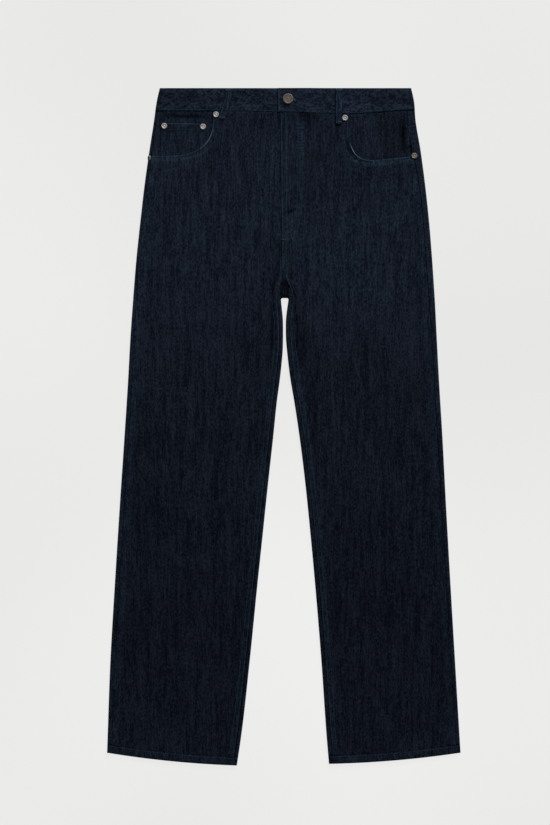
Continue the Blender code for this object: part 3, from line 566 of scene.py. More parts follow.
def innerPath(side):
    # fine points down a leg's inner edge from the middle of the notch, numbered as the solids' stations are
    number = np.linspace(0, len(stations["inner"]) + 4, 2400)
    corner, start = cut["notchCorner"], cut["notchDown"] + cut["notchCorner"]
    edge = innerEdge[side](start)
    turn = np.radians(np.clip(number - 1, 0, 2) * 45)
    cornerX = edge - sides[side] * corner * (1 - np.sin(turn))
    downs = (start, *stations["inner"], hemTop["Inner"])
    down = np.interp(number, np.arange(3, 3 + len(downs)), downs)
    x = np.where(number < 3, cornerX, innerEdge[side](down))
    down = np.where(number < 3, cut["notchDown"] + corner * (1 - np.cos(turn)), down)
    middle = cut["centre"] - sides[side] * cut["seamGap"]  # the two legs are sewn together here
    line = stacked(np.where(number < 1, mix(middle, cornerX, number), x), down)
    into = leftOf(line) * sides[side]
    seam = np.full(len(number), cut["inseam"])
    # above the fold the two inseams part like a fork
    fork = number < 3
    steps, out, low = np.array(cut["fork"]).T
    seamEnd = mix(cut["centre"], float(edge) + sides[side] * cut["inseam"], out)
    target = onLine(number[fork], steps, stacked(seamEnd, low)) - line[fork]
    seam[fork] = np.linalg.norm(target, axis=1)
    into[fork] = unit(target)
    return {"number": number, "line": line, "into": into, "seam": seam}


innerPaths = {side: innerPath(side) for side in sides}


def pick(side, number):
    # a point of the inner path, the direction into the cloth and how far in the seam lies
    path = innerPaths[side]
    numbers = path["number"]
    into = unit(onLine(number, numbers, path["into"]))
    return onLine(number, numbers, path["line"]), into, np.interp(number, numbers, path["seam"])


def outerStation(side, down):
    # points of the outer edge and the directions into the cloth
    edge = outerEdge[side]
    slope = (edge(down + 3) - edge(down - 3)) / 6
    return stacked(edge(down), down), unit(stacked(1.0, -slope)) * -sides[side]


def finer(coarse, step):
    # station numbers, so many between each pair that the longest gap is about one step
    numbers = []
    for index in range(len(coarse[0]) - 1):
        span = max(np.linalg.norm(line[index + 1] - line[index]) for line in coarse)
        count = max(int(math.ceil(span / step)), 1)
        numbers += list(index + np.arange(count) / count)
    return np.array(numbers + [len(coarse[0]) - 1.0])


# The waistband's measures come first, as the panels rise to meet it
waistband = {
    "cloth": 2.0,
    "lapEdge": -9.3,
    "lapUnder": 34.0,
    "height": 6.8,
    "lowerHeight": 6.2,
    "upperHeight": 8.6,
    "fromEdge": (0, 0.4, 0.9, 1.7, 2.8, 4.4, 6.6, 9.4, 12.6, 16),
    "openEnd": (0.4, 0.9, 1.7),
    "tall": 37,
    "stretch": 240,  # about how far each front half runs
    "step": 2.6,
    "foldSteps": 13,
    "crown": 0.3,
    "pucker": 0.28,
    "button": (6.7, 17.6),
    "eyeRadius": 3.0,
    "slitReach": 9.6,
    "slitWidth": 0.7,
    "flat": (0.905, 0.038),
}


def upperHeight(x):
    return mix(waistband["upperHeight"], waistband["height"], ramp(x, waistband["lapUnder"] + 4, 72))


def lowerHeight(x):
    # the end that runs under the lap
    return mix(waistband["height"], waistband["lowerHeight"], ramp(x, -48, waistband["lapEdge"] - 8))


def bandHeight(x):
    return np.where(x > waistband["lapEdge"], upperHeight(x), lowerHeight(x))


frontPanel = {
    "cloth": 1.2,
    "rowStep": 2.9,
    "finerAbove": 130.0,  # rows are twice as close where the mouth and the fly are
    "middleColumns": 58,
    "nearEdge": (0, 0.45, 1.0, 1.8, 3.0, 4.6, 6.6, 9.0, 11.8, 15.0, 18.5),
    "legFrom": (322, 350),
    "fell": {"width": 10.5, "rise": 0.75},  # the inseam's felled seam
    "opened": {"width": 11.0, "rise": 0.5},  # the side seam's allowances, pressed open
    "openedFrom": (mouthCut["end"] - 6, mouthCut["end"] + 10),
    "turned": {"width": 11.0, "rise": 0.45},  # the turned edge of a pocket mouth
    "centreRise": {"right": 0.1, "left": 0.5},
    # strength, size and seed of the puckers along the fell, the opened seam and the mouth
    "puckers": ((1.0, 5.2, 21), (0.6, 7.5, 22), (0.8, 5.0, 23)),
    "pucker": 0.30,
    "ridgeWear": 0.10,
    # along the mouth, reach, rise, lean over the opening
    "flare": {"right": (62, 24, 0.8, 0.6), "left": (62, 18, 1.6, 2.8)},
    "footLean": {"right": 0.0, "left": 1.4},
    "footWhere": (68, 86, 132, 158),
    # along the mouth, reach, strength, strength along the foot
    "lipWear": {"right": (44, 24, 1.60, 0.26), "left": (61, 13, 1.75, 0.62)},
    "lipWidth": 1.7,
    "beads": {"pitch": 7.8, "inside": 5.4, "width": 2.8, "rise": 0.26},
    "beadWear": {"right": 0.44, "left": 0.66},
    "beadStart": {"right": 92, "left": 105},
    # the fork's two crests, where the inseams turn down
    "crests": (
        ((-4.6, 272), (-4.7, 290), (-5.8, 304), (-7.8, 314)),
        ((-1.4, 278), (1.6, 294), (6.6, 307), (10.0, 316)),
    ),
    "crestForm": {"rise": 0.7, "width": 2.2, "wear": 0.40, "wearWidth": 1.1},
    "unevenness": 0.22,
    "flat": (0.262, 1.045),
    "area": {"right": 0.218, "left": 0.210},
}

fly = {
    "outer": ((30.4, 43), (30.2, 110), (29.2, 172), (26.6, 206), (20.0, 228), (9.0, 240), (-1.4, 245)),
    "inner": ((22.6, 43), (22.4, 110), (21.6, 170), (19.2, 200), (13.6, 219), (5.0, 230), (-2.4, 234)),
    "tacks": (((12.6, 239.5), (0.35, 1), 11), ((-0.4, 243), (1, 0.15), 8)),
    "step": {"drop": 0.5, "inside": (29, 34), "where": (40, 60, 170, 240)},
    "ribs": {"x": 26, "width": 5.5, "pitch": 4.5, "rise": 0.32, "wear": 0.34, "where": (52, 60, 84, 128)},
}


def leaningMouth(side, count):
    # a mouth's edge, which leans over the opening where it flares
    place, reach, lift, lean = frontPanel["flare"][side]
    line = mouthLine(side, count)
    along = alongLine(line)
    foot = frontPanel["footLean"][side] * between(along, *frontPanel["footWhere"])
    into = lean * bell(along - place, reach) + foot
    return line + leftOf(line) * sides[side] * into[:, None]


def outerFront(side, number):
    last = stations["mouth"]
    fine = leaningMouth(side, 600)
    fine[0, 1] = bandFront(fine[0, 0]) + cut["seamGap"]
    mouth = onLine(np.clip(number / last, 0, 1) * 599, np.arange(600), fine)
    downs = (*stations["seat"], *stations["leg"], hemTop["Outer"])
    down = np.interp(number, last + np.arange(len(downs)), downs)
    line, into = outerStation(side, down)
    line = line + into * (sideSeam[side](down) + cut["slopeGap"])[:, None]
    return np.where((number < last)[:, None], mouth, line)


def innerFront(side, number):
    downs = (bandFront(centreFront(40)) + cut["seamGap"], *stations["centreFront"])
    last = len(downs) - 1
    down = np.interp(number, np.arange(len(downs)), downs)
    x = centreFront(down)
    if side == "right":
        x = x - cut["seamGap"] + cut["flyTuck"] * fade(down, cut["flyEnd"] - 10, cut["flyEnd"] + 14)
    line, into, seam = pick(side, np.clip(number - last - 1, 0, None))
    leg = line + into * (seam + cut["slopeGap"])[:, None]
    return mix(stacked(x, down), leg, np.clip(number - last, 0, 1)[:, None])


def mouthRelief(side, down, toMouth, alongMouth, turnedEdge):
    # the flared lip, its rubbed edge and the bead-like puckers along the foot
    look, beads = frontPanel, frontPanel["beads"]
    place, reach, lift = look["flare"][side][:3]
    flare = bell(alongMouth - place, reach) * (toMouth < 25)
    rise = lift * flare * (bell(toMouth, 3.0) - 0.8 * bell(toMouth - 6, 3))
    place, reach, strength, footStrength = look["lipWear"][side]
    lip = mix(0.26, footStrength, ramp(alongMouth, 58, 76)) + strength * bell(alongMouth - place, reach)
    foot = ramp(down, look["beadStart"][side], look["beadStart"][side] + 10) * turnedEdge
    phase = alongMouth * 2 * np.pi / beads["pitch"] + 2.6 * unevenness(alongMouth, toMouth, 22, 27)
    bead = np.sin(phase) * bell(toMouth - beads["inside"], beads["width"]) * foot
    uneven = 0.7 + 0.5 * unevenness(alongMouth, toMouth * 1.5, 8, 28)
    rubbed = 0.22 * foot + np.clip(bead, 0, 1) * uneven
    wear = 0.95 * bell(toMouth, look["lipWidth"]) * lip + look["beadWear"][side] * rubbed
    return rise + beads["rise"] * bead, wear


def flyRelief(x, down, fromInner):
    # the fly's facing shows as a soft step at the J of stitches, with ribs across its top and a rubbed lap
    step, ribs = fly["step"], fly["ribs"]
    rise = -step["drop"] * ramp(x - centreFront(down), *step["inside"]) * between(down, *step["where"])
    lapFade = (1 - 0.55 * ramp(down, 160, 205)) * fade(down, *frontPanel["legFrom"])
    wear = 0.95 * bell(fromInner, 1.4) * lapFade
    wear += 0.5 * bell(fromInner - 8.2, 0.9) * (1 - 0.6 * ramp(down, 180, 215)) * fade(down, 280, 300)
    for row in fly["outer"], fly["inner"]:
        gap, along = lineDistance(smoothLine(row), x, down, 8)
        drawn = 0.6 + 0.6 * unevenness(along, 0, 4.2, 25)
        rise -= 0.5 * bell(gap, 1.4) * drawn
        wear += 0.22 * bell(gap - 2.0, 1.2) * drawn
    ribbed = bell(x - ribs["x"], ribs["width"]) * between(down, *ribs["where"])
    wave = np.sin((down + 1.2 * unevenness(x, down, 14, 26)) * 2 * np.pi / ribs["pitch"])
    return rise + ribs["rise"] * ribbed * wave, wear + ribs["wear"] * ribbed * np.clip(wave, 0, 1)


def frontRelief(side, x, down, height, fromOuter, fromInner, alongInner):
    # seams, turned edges and creases on a front panel, and how worn each place is
    look = frontPanel
    toMouth, alongMouth = lineDistance(leaningMouth(side, 220), x, down, 30)
    leg = ramp(down, *look["legFrom"])
    fellWidth, openWidth, turnedWidth = (look[key]["width"] for key in ("fell", "opened", "turned"))
    fell = ramp(fromInner, -0.5, 1.2) * fade(fromInner, fellWidth - 1.2, fellWidth + 1.6) * leg
    centre = fade(fromInner, 8.5, 11.5) * ramp(down, cut["flyEnd"], cut["flyEnd"] + 30) * (1 - leg)
    opened = fade(fromOuter, openWidth - 2, openWidth + 2) * ramp(down, *look["openedFrom"])
    turnedEdge = fade(toMouth, turnedWidth - 1.5, turnedWidth + 2)
    rise = look["fell"]["rise"] * fell + look["centreRise"][side] * centre
    rise += look["opened"]["rise"] * opened + look["turned"]["rise"] * turnedEdge
    # rows of stitches draw the cloth into small puckers
    runs = ((alongInner, fromInner * 0.35, fell), (down + 40, fromOuter * 0.3, opened),
            (alongMouth, toMouth * 0.4, turnedEdge))
    wave = sum(share * strength * unevenness(along, across, size, seed)
               for (along, across, share), (strength, size, seed) in zip(runs, look["puckers"]))
    rise += look["pucker"] * wave
    wear = look["ridgeWear"] * np.clip(0.5 + 1.4 * wave, 0, 1) * (fell + opened)
    # the waist seam holds the top edge down
    waist = down - bandFront(x)
    rise += np.maximum(bandHeight(x) - 0.7 - height, 0) * fade(waist, 2, 16) * ramp(toMouth, 0, 8)
    rise += 0.25 * unevenness(x, down * 0.4, 9, 24) * fade(waist, 3, 16)
    reliefs = [mouthRelief(side, down, toMouth, alongMouth, turnedEdge)]
    if side == "left":
        reliefs.append(flyRelief(x, down, fromInner))
    for added, worn in reliefs:
        rise += added
        wear += worn
    free = ramp(fromOuter, 4, 16) * ramp(fromInner, 3, 14)
    broad = unevenness(x + 700, down * 0.55, 34, 31) + 0.6 * unevenness(x + 700, down * 0.6, 17, 32)
    rise += (creaseRise(creases[side], x, down) + look["unevenness"] * broad) * free
    rise += 0.35 * unevenness(x + 500, down * 0.3 + x * 0.4, 8, 33) * ramp(down, 1046, 1068)
    edge = np.minimum(np.minimum(toMouth, fromOuter), fromInner)
    rise -= edgeRoll(edge, 0.8) * (1 - 0.4 * leg)
    wear += 0.30 * bell(fromInner - 0.9, 1.0) * ramp(down, 304, 318) * (1 - 0.55 * ramp(down, 350, 600))
    form = look["crestForm"]
    for crest in look["crests"]:
        gap, along = lineDistance(smoothLine(crest), x, down, 8)
        rise += form["rise"] * bell(gap, form["width"])
        wear += form["wear"] * bell(gap, form["wearWidth"])
    return rise, np.clip(wear, 0, 2)


def frontRows(side):
    look = frontPanel
    coarse = np.arange(stations["mouth"] + len(stations["seat"]) + len(stations["leg"]) + 1, dtype=float)
    numbers = finer((outerFront(side, coarse), innerFront(side, coarse)), look["rowStep"])
    halfway = (numbers[1:] + numbers[:-1]) / 2
    halfway = halfway[innerFront(side, halfway)[:, 1] < look["finerAbove"]]
    numbers = np.sort(np.concatenate([numbers, halfway, numbers[-1:]]))
    outer = outerFront(side, numbers)
    inner = innerFront(side, numbers)
    length = np.linalg.norm(inner - outer, axis=1)[:, None]
    near = np.array(look["nearEdge"])
    share = np.linspace(0, 1, look["middleColumns"] + 2)[1:-1]
    middle = mix(near[-1], length - near[-1], share)
    places = np.concatenate([np.tile(near, (len(length), 1)), middle, length - near[::-1]], axis=1)
    points = outer[:, None, :] + (inner - outer)[:, None, :] * (places / length)[:, :, None]
    x, down = points[..., 0], points[..., 1]
    topGap = bandFront(x[0]) + cut["seamGap"] - down[0]
    down = down + topGap * np.clip(1 - np.arange(len(down)) / 6, 0, 1)[:, None]
    down = down + hemSag(side, x, down)
    down[-2] = hemLine(side, x[-2], cut["hemDepth"] + 0.4)
    down[-1] = hemLine(side, x[-1], cut["hemDepth"] - 1.2)  # tucked under the hem's turned edge
    height = lyingHeight(side, x, down)
    rise, wear = frontRelief(side, x, down, height, places, length - places, alongLine(inner)[:, None])
    rise[-1] -= 0.7
    return stacked(x, down, height + rise), wear


for side in sides:
    rows, wear = frontRows(side)
    dress(f"front_{side}", f"front_panel_{side}", rows, frontPanel["cloth"], up=True, wear=wear)
print("front panels made")


# Back panels and yokes, wrapped round to the front at the seams
backPanel = {
    "cloth": 1.2,
    "rowStep": 4.2,
    "plateColumns": 56,
    "foldSteps": 13,
    "seamSteps": 4,
    "yokeRows": 14,
    "flat": (0.300, 1.020),
    "area": 0.235,
    "yokeFlat": (0.238, 0.064),
    "yokeArea": 0.0105,
}


def foldOver(side, place, into, seam):
    # from the under face's start, round the fold, to the seam on the front
    low = seatLift(place[:, 1])
    near = place + into * 2
    half = (lyingHeight(side, near[:, 0], near[:, 1]) - low) / 2
    wrap = []
    for turn in np.linspace(-math.pi / 2, math.pi / 2, backPanel["foldSteps"]):
        spot = place + into * (half * (1 - math.cos(turn)))[:, None]
        wrap.append(stacked(spot[:, 0], spot[:, 1], low + half * (1 + math.sin(turn))))
    for share in np.linspace(0, 1, backPanel["seamSteps"] + 1)[1:]:
        inside = mix(half, seam, share**0.7)
        x, down = (place + into * inside[:, None]).T
        height = lyingHeight(side, x, down) - edgeRoll(seam - inside, 0.5)
        height += 0.12 * unevenness(down, x * 0.2, 6, 41)
        wrap.append(stacked(x, down, height))
    return np.stack(wrap, axis=1)


def underRelief(side, x, down):
    # the under face lies on the floor, and lifts from it a little here and there
    edge = np.abs(x - outerEdge[side](down))
    free = ramp(edge, 6, 26) * ramp(innerDistance(side, x, down), 6, 24)
    lift = creaseRise(creases["back"], x, down) + 0.25 * (1 + unevenness(x + 300, down * 0.6, 30, 51))
    fell = fade(np.abs(x - cut["centre"]), 9, 12) * fade(down, 316, 330)
    return np.maximum(lift, 0) * free - fell * np.clip(seatLift(down) - 0.2, 0, 0.4)


def backRows(side, outerDown, innerDown=None, number=None):
    place, into = outerStation(side, outerDown)
    wrap = foldOver(side, place, into, sideSeam[side](outerDown))
    if innerDown is None:
        inner = foldOver(side, *pick(side, number))
    else:
        x = cut["centre"] - sides[side] * cut["seamGap"]
        inner = stacked(x, innerDown, seatLift(innerDown) + 0.1 - 0.1 * sides[side])[:, None, :]
    share = (np.arange(1, backPanel["plateColumns"]) / backPanel["plateColumns"])[None, :, None]
    plate = mix(wrap[:, 0:1, :], inner[:, 0:1, :], share)
    plate[..., 2] = seatLift(plate[..., 1]) + underRelief(side, plate[..., 0], plate[..., 1])
    rows = np.concatenate([wrap[:, ::-1, :], plate, inner], axis=1)
    rows[..., 1] += hemSag(side, rows[..., 0], rows[..., 1])
    return rows


def backWear(side, row):
    x, down = row[:, 0], row[:, 1]
    gap, inner = np.abs(x - outerEdge[side](down)), innerDistance(side, x, down)
    ridge = bell(gap - 1.5, 1.6) + bell(inner - 1.5, 1.6) * (down > 338)
    return np.clip(0.16 * ridge * (0.5 + 0.5 * unevenness(down, x * 0.2, 7, 42)), 0, 1)


def yokeRows(side):
    top = bandBack(outerEdge[side](cut["yokeSide"])) + cut["seamGap"]
    topCentre = bandBack(cut["centre"]) + cut["seamGap"]
    share = np.linspace(0, 1, backPanel["yokeRows"])
    rows = backRows(side, mix(top, cut["yokeSide"], share), mix(topCentre, cut["yokeCentre"], share))
    x, height = rows[0, :, 0], rows[0, :, 2]
    onFront = height > cut["seatLift"] + 1.2
    rows[0, :, 1] = np.where(onFront, bandFront(x) - 1.2, bandBack(x) + cut["slopeGap"])
    rows[..., 2] -= 0.5 * (rows[..., 2] > 3.5) * fade(rows[..., 1] - bandFront(rows[..., 0]), 0, 4)
    return rows


for side in sides:
    outerSeat, innerSeat = (np.array(stations[key]) for key in ("backOuter", "backInner"))
    order = np.arange(len(outerSeat))
    numbers = finer((stacked(0.0, outerSeat), stacked(0.0, innerSeat)), backPanel["rowStep"])[:-1]
    seatRows = backRows(side, np.interp(numbers, order, outerSeat), np.interp(numbers, order, innerSeat))
    outerLeg = np.array((*stations["leg"], hemTop["Outer"]))
    order = np.arange(len(outerLeg))
    numbers = finer((stacked(0.0, outerLeg), pick(side, order)[0]), backPanel["rowStep"])
    legRows = backRows(side, np.interp(numbers, order, outerLeg), number=numbers)
    legRows[-1, :, 1] = hemLine(side, legRows[-1, :, 0], cut["hemDepth"])
    rows = [*seatRows, *legRows]
    wear = [backWear(side, row) for row in rows]
    dress(f"back_{side}", f"back_panel_{side}", rows, backPanel["cloth"], up=False, wear=wear)
    dress(f"yoke_{side}_cloth", f"yoke_{side}", yokeRows(side), backPanel["cloth"], up=False)
print("back panels and yokes made")


# Pocket facings and the coin pocket
facing = {
    "cloth": 1.0,
    "columns": 46,
    "rows": 34,
    "fold": {"x": 187, "width": 6, "depth": 0.7, "from": (44, 80)},  # pulled down by the left pocket's bag
    "flat": {"right": (0.100, 0.085), "left": (0.108, 0.090)},
}


def facingRows(side):
    share = np.linspace(0, 0.985, facing["columns"])[:, None]
    fall = np.linspace(0, 1, facing["rows"])
    endX = mouths[side]["frontX"] - sides[side] * mouthCut["tuck"]
    low = mouthPoint(side, share, mouthCut["tuck"])[1] - ramp(1 - share, 0.9, 1.0) * (mouthCut["tuck"] + 1)
    down = mix(bandFront(mix(seamX(side, 40.0), endX, share)) - 0.9, low, fall)
    x = mix(seamX(side, down) - sides[side] * cut["slopeGap"], endX, share)
    height = facingHeight(side, x, down)
    height += np.maximum(bandHeight(x) - 1.1 - height, 0) * fade(down - bandFront(x), 0.5, 13)
    height += 0.22 * unevenness(x + 400, down * 0.6, 16, 61) * ramp(np.abs(x - seamX(side, down)), 2, 12)
    if side == "left":
        fold = facing["fold"]
        height -= fold["depth"] * bell(x - fold["x"], fold["width"]) * ramp(down, *fold["from"])
        toSeam = np.maximum(lyingHeight(side, x, down) - 0.15 - height, 0)
        height += toSeam * ramp(x, 192.5, 196) * fade(down, 88, 101)
    return stacked(x, down, height)


for side in sides:
    dress(f"facing_{side}_cloth", f"pocket_facing_{side}", facingRows(side), facing["cloth"], up=True)

coinPocket = {
    "cloth": 1.0,
    "outerX": -197.3,
    "innerX": -125.3,
    "top": 56.0,
    "topFall": 0.8,
    "height": 5.7,
    "tuck": 5.0,
    "columns": 44,
    "rows": 34,
    "hem": 12.5,  # its turned top edge
    "flat": (0.072, 0.062),
}


def coinRows():
    look = coinPocket
    share = np.linspace(0, 1, look["columns"])[:, None]
    fall = np.linspace(0, 1, look["rows"]) ** 1.15
    edge = seamX("right", mouthCut["end"])
    x = mix(look["outerX"], look["innerX"], share)
    low = mouthPoint("right", (x - edge) / (mouths["right"]["frontX"] + look["tuck"] - edge), look["tuck"])[1]
    top = look["top"] + look["topFall"] * share
    x, down = np.broadcast_arrays(x, mix(top, low, fall))
    fromTop = down - top
    fromSide = np.minimum(x - look["outerX"], look["innerX"] - x)
    hem = fade(fromTop, look["hem"] - 1, look["hem"] + 1.5)
    wave = unevenness(x, fromTop * 0.5, 6, 62) * hem
    height = look["height"] + 0.25 * hem + 0.22 * wave + 0.2 * unevenness(x, down, 15, 63)
    height -= edgeRoll(np.minimum(fromTop, fromSide), 1.2) + 0.25 * bell(fromTop - look["hem"], 1.2)
    wear = 0.42 * bell(fromTop, 1.3) + 0.2 * bell(fromSide, 1.2) + 0.3 * np.clip(wave, 0, 1)
    return stacked(x, down, height), np.clip(wear, 0, 1)


rows, wear = coinRows()
dress("coin_pocket_cloth", "coin_pocket", rows, coinPocket["cloth"], up=True, wear=wear)
print("pocket facings and coin pocket made")


def bandRows():
    look = waistband
    near = np.array(look["fromEdge"]) / look["tall"]
    share = np.concatenate([near, [0.5], 1 - near[::-1]])
    ends = {side: bandFront(cut["bandFront"][end][0]) for side, end in (("right", 0), ("left", -1))}
    right, left = (outerEdge[side](end * share) for side, end in ends.items())
    half = (look["height"] - cut["seatLift"]) / 2
    columns = []

    def run(start, end, seam, height, gaps=()):
        # one straight stretch of the band, finer at an open end
        count = int(abs(np.mean(end) - np.mean(start)) / look["step"])
        for place in np.unique(np.concatenate([gaps, np.linspace(0, 1, count)])):
            x = mix(start, end, place)
            columns.append(stacked(x, seam(x) * share, height(x)))

    def fold(edge, toward, start, end, seam):
        for turn in np.linspace(start, end, look["foldSteps"])[1:-1]:
            x = edge - toward * half * (1 - math.cos(turn))
            columns.append(stacked(x, seam * share, cut["seatLift"] + half * (1 + math.sin(turn))))

    quarter = math.pi / 2
    openEnd = np.array(look["openEnd"]) / look["stretch"]
    run(look["lapUnder"], right + half, bandFront, lowerHeight, openEnd)
    fold(right, -1, quarter, -quarter, ends["right"])
    run(right + half, left - half, bandBack, lambda x: cut["seatLift"])
    fold(left, 1, -quarter, quarter, ends["left"])
    run(left - half, look["lapEdge"], bandFront, upperHeight, 1 - openEnd)
    rows = np.stack(columns, axis=1)
    x, down, height = rows[..., 0], rows[..., 1], rows[..., 2]
    along = alongLine(stacked(x[0], height[0]))[None, :]
    depth = down[-1:, :]
    gap = np.minimum(down, depth - down)
    front = height > 4.5
    wave = unevenness(along, gap * 0.25, 6.5, 71) * fade(gap, 3, 9)
    bulge = look["crown"] * np.sin(np.pi * np.clip(down / depth, 0, 1)) + look["pucker"] * wave
    bulge += 0.3 * unevenness(along, down * 0.8, 17, 72) * ramp(gap, 1, 8)
    fromEnd = np.minimum(np.minimum(along, along[:, -1:] - along), gap)
    bulge -= edgeRoll(fromEnd, 1.0)
    bulge *= np.where((height > 6) | (height < 2), 1, 0.3)  # less round the folds
    rows[..., 2] = height + np.where(front, bulge, -np.minimum(bulge, 1.2))
    uneven = 0.6 + 0.4 * unevenness(along + 60, down, 9, 73)
    wear = 0.6 * bell(fromEnd, 1.5) * uneven + 0.3 * np.clip(wave, 0, 1)
    wear += 0.9 * bell(along[:, -1:] - along, 1.8)  # the lap's edge is rubbed most
    return rows, np.clip(wear, 0, 1)


rows, wear = bandRows()
dress("waistband_cloth", "waistband", rows, waistband["cloth"], wear=wear)
print("waistband made")


hem = {
    "cloth": 2.0,
    "rope": 0.38,
    "ropePitch": 8.5,
    "ropeSlant": 0.55,
    "ropeWhere": (0.5, 3, 11, 13),
    # rows from the leg's end of the hem to its turned edge
    "rows": (13, 12.5, 11.8, 10.6, 8.7, 6.5, 4.4, 2.6, 1.4, 0.6, 0),
    "foldSteps": 11,
    "columns": 90,
    "flat": (0.425, 0.013),
}


def hemRows(side):
    rows, wear = [], []
    half = cut["hemHeight"] / 2
    toward = sides[side]
    turns = np.radians(np.linspace(90, -90, hem["foldSteps"]))
    flats = np.linspace(0, 1, hem["columns"])[1:-1]
    falling, level = half * (1 + np.sin(turns)), 0 * flats
    height = np.concatenate([falling, level, falling[::-1], level + 2 * half])
    upper = height > half
    for rise in hem["rows"]:
        outer = outerEdge[side](cut["hemOuter"] - rise)
        inner = innerEdge[side](cut["hemInner"] - rise)
        over, under = outer - toward * half, inner + toward * half
        bend = toward * half * (1 - np.cos(turns))
        x = np.concatenate([
            outer - bend, mix(over, under, flats), inner + bend[::-1], mix(under, over, flats),
        ])
        down = hemLine(side, x, rise)
        # the stitches pull the turned cloth into slanting ropes
        slant = alongLine(stacked(x, height)) + toward * rise * hem["ropeSlant"]
        rope = unevenness(slant, 0, hem["ropePitch"] / 2, 81) * between(rise, *hem["ropeWhere"])
        roll = 0.7 * edgeRoll(rise * 0.6, 0.9)
        leg = lyingHeight(side, x, down) + 0.1 - height  # the turned cloth eases down onto the leg
        onTop = hem["rope"] * rope - roll + np.minimum(leg, 0) * ramp(rise, 5, 12.5)
        lift = np.where(upper, onTop, np.maximum(0, 0.2 * rope + 0.2) + roll)
        lift = np.where(np.abs(height - half) < half * 0.93, 0, lift)
        rows.append(stacked(x, down, height + lift))
        edge = bell(rise, 1.6) + 0.5 * bell(13 - rise, 1.4)
        wear.append(np.clip(0.10 * edge + 0.14 * np.clip(rope, 0, 1), 0, 1))
    return rows, wear


for side in sides:
    rows, wear = hemRows(side)
    dress(f"hem_{side}_cloth", f"hem_{side}", rows, hem["cloth"], closed=True, flip=side == "left", wear=wear)
print("hems made")


loops = {
    "width": 9.8,
    "cloth": 1.4,
    "front": {
        "belt_loop_front_right": {"topX": -88.7, "endX": -99.4, "length": 50.5, "wear": 0.6},
        "belt_loop_front_left": {"topX": 88.0, "endX": 88.0, "length": 58.0, "wear": 1.0},
    },
    "top": 1.0,
    "back": {"belt_loop_back_right": -97.0, "belt_loop_back_centre": 1.1, "belt_loop_back_left": 99.0},
    "backTop": 0.8,
    "backLength": 52.0,
    "backCloth": 1.3,
    "across": (-0.5, -0.46, -0.4, -0.3, -0.15, 0, 0.15, 0.3, 0.4, 0.46, 0.5),
    "stitchLine": 1.9,  # from each side
    "flat": (0.0102, 0.058),
}


def dressedHeight(side, x, down):
    # the band above its seam, the front panel below
    panel = lyingHeight(side, x, down)
    band = np.maximum(bandHeight(x), np.where(down > 30, panel, 0))
    return np.where(down <= bandFront(x) + 1, band, panel)


def loopMiddle(shape, share):
    down = loops["top"] + (shape["length"] - loops["top"]) * share
    return mix(shape["topX"], shape["endX"], np.maximum(share - 0.3, 0) / 0.7), down


def loopRows(shape):
    side = "left" if shape["topX"] > 0 else "right"
    share = np.concatenate([[0.0, 0.01, 0.025], np.linspace(0.05, 0.95, 34), [0.975, 0.99, 1.0]])
    middle, down = loopMiddle(shape, share)
    under = [dressedHeight(side, middle + out, down + step) for out in (-6, 0, 6) for step in (-4, 0, 4)]
    height = np.max(under, axis=0) + 0.3 + loops["cloth"] + 0.9 * np.sin(np.pi * np.minimum(share / 0.85, 1))
    across = np.array(loops["across"])
    down, share, height = down[:, None], share[:, None], height[:, None]
    x = middle[:, None] + loops["width"] * across
    fromEdge = loops["width"] * (0.5 - np.abs(across))
    fromEnd = shape["length"] * np.minimum(share, 1 - share)
    height = height + 0.35 * np.cos(np.pi * across) + 0.14 * unevenness(down, x * 0.5, 5, 91)
    height -= 0.22 * bell(fromEdge - loops["stitchLine"], 0.7)
    height -= 0.8 * edgeRoll(np.minimum(fromEdge, fromEnd), 1.0)
    worn = bell(fromEdge, 1.3) * np.where(across < 0, 1.5, 0.55)
    uneven = 0.75 + 0.4 * unevenness(down, x * 0.3, 9, 92)
    wear = shape["wear"] * worn * uneven * (1 - 0.6 * ramp(down, 30, 44)) + 0.5 * bell(fromEnd, 1.6) + 0.12
    return stacked(x, down, height), np.clip(wear, 0, 1)


def backLoopRows(middle):
    across = np.array(loops["across"])
    down = np.linspace(loops["backTop"], loops["backLength"], 36)[:, None]
    fromEdge = loops["width"] * (0.5 - np.abs(across))
    fromEnd = np.minimum(down - loops["backTop"], loops["backLength"] - down)
    height = 0.7 * edgeRoll(np.minimum(fromEdge, fromEnd), 0.7)
    height += 0.15 * bell(fromEdge - loops["stitchLine"], 0.7)
    rows = stacked(middle + loops["width"] * across, down, height)
    return rows, np.broadcast_to(np.clip(0.7 * bell(fromEdge, 1.0) + 0.1, 0, 1), rows.shape[:2])


for name, shape in loops["front"].items():
    rows, wear = loopRows(shape)
    dress(f"{name}_cloth", name, rows, loops["cloth"], up=True, wear=wear)
for name, middle in loops["back"].items():
    rows, wear = backLoopRows(middle)
    dress(f"{name}_cloth", name, rows, loops["backCloth"], up=False, wear=wear)
print("belt loops made")


backPocket = {
    "middle": {"right": -113.0, "left": 117.0},
    "top": 118.0,
    "topWidth": 148.0,
    "bottom": 252.0,
    "bottomWidth": 122.0,
    "point": 270.0,
    "half": 67,  # about half as wide, and as tall, as the patch is
    "tall": 140,
    "cloth": 1.3,
    "tilt": 3.0,
    "nearEdge": (0, 0.006, 0.014, 0.03, 0.06, 0.1),
    "stitchLine": 8.0,
    "flat": (0.148, 0.152),
    "area": 0.0196,
}


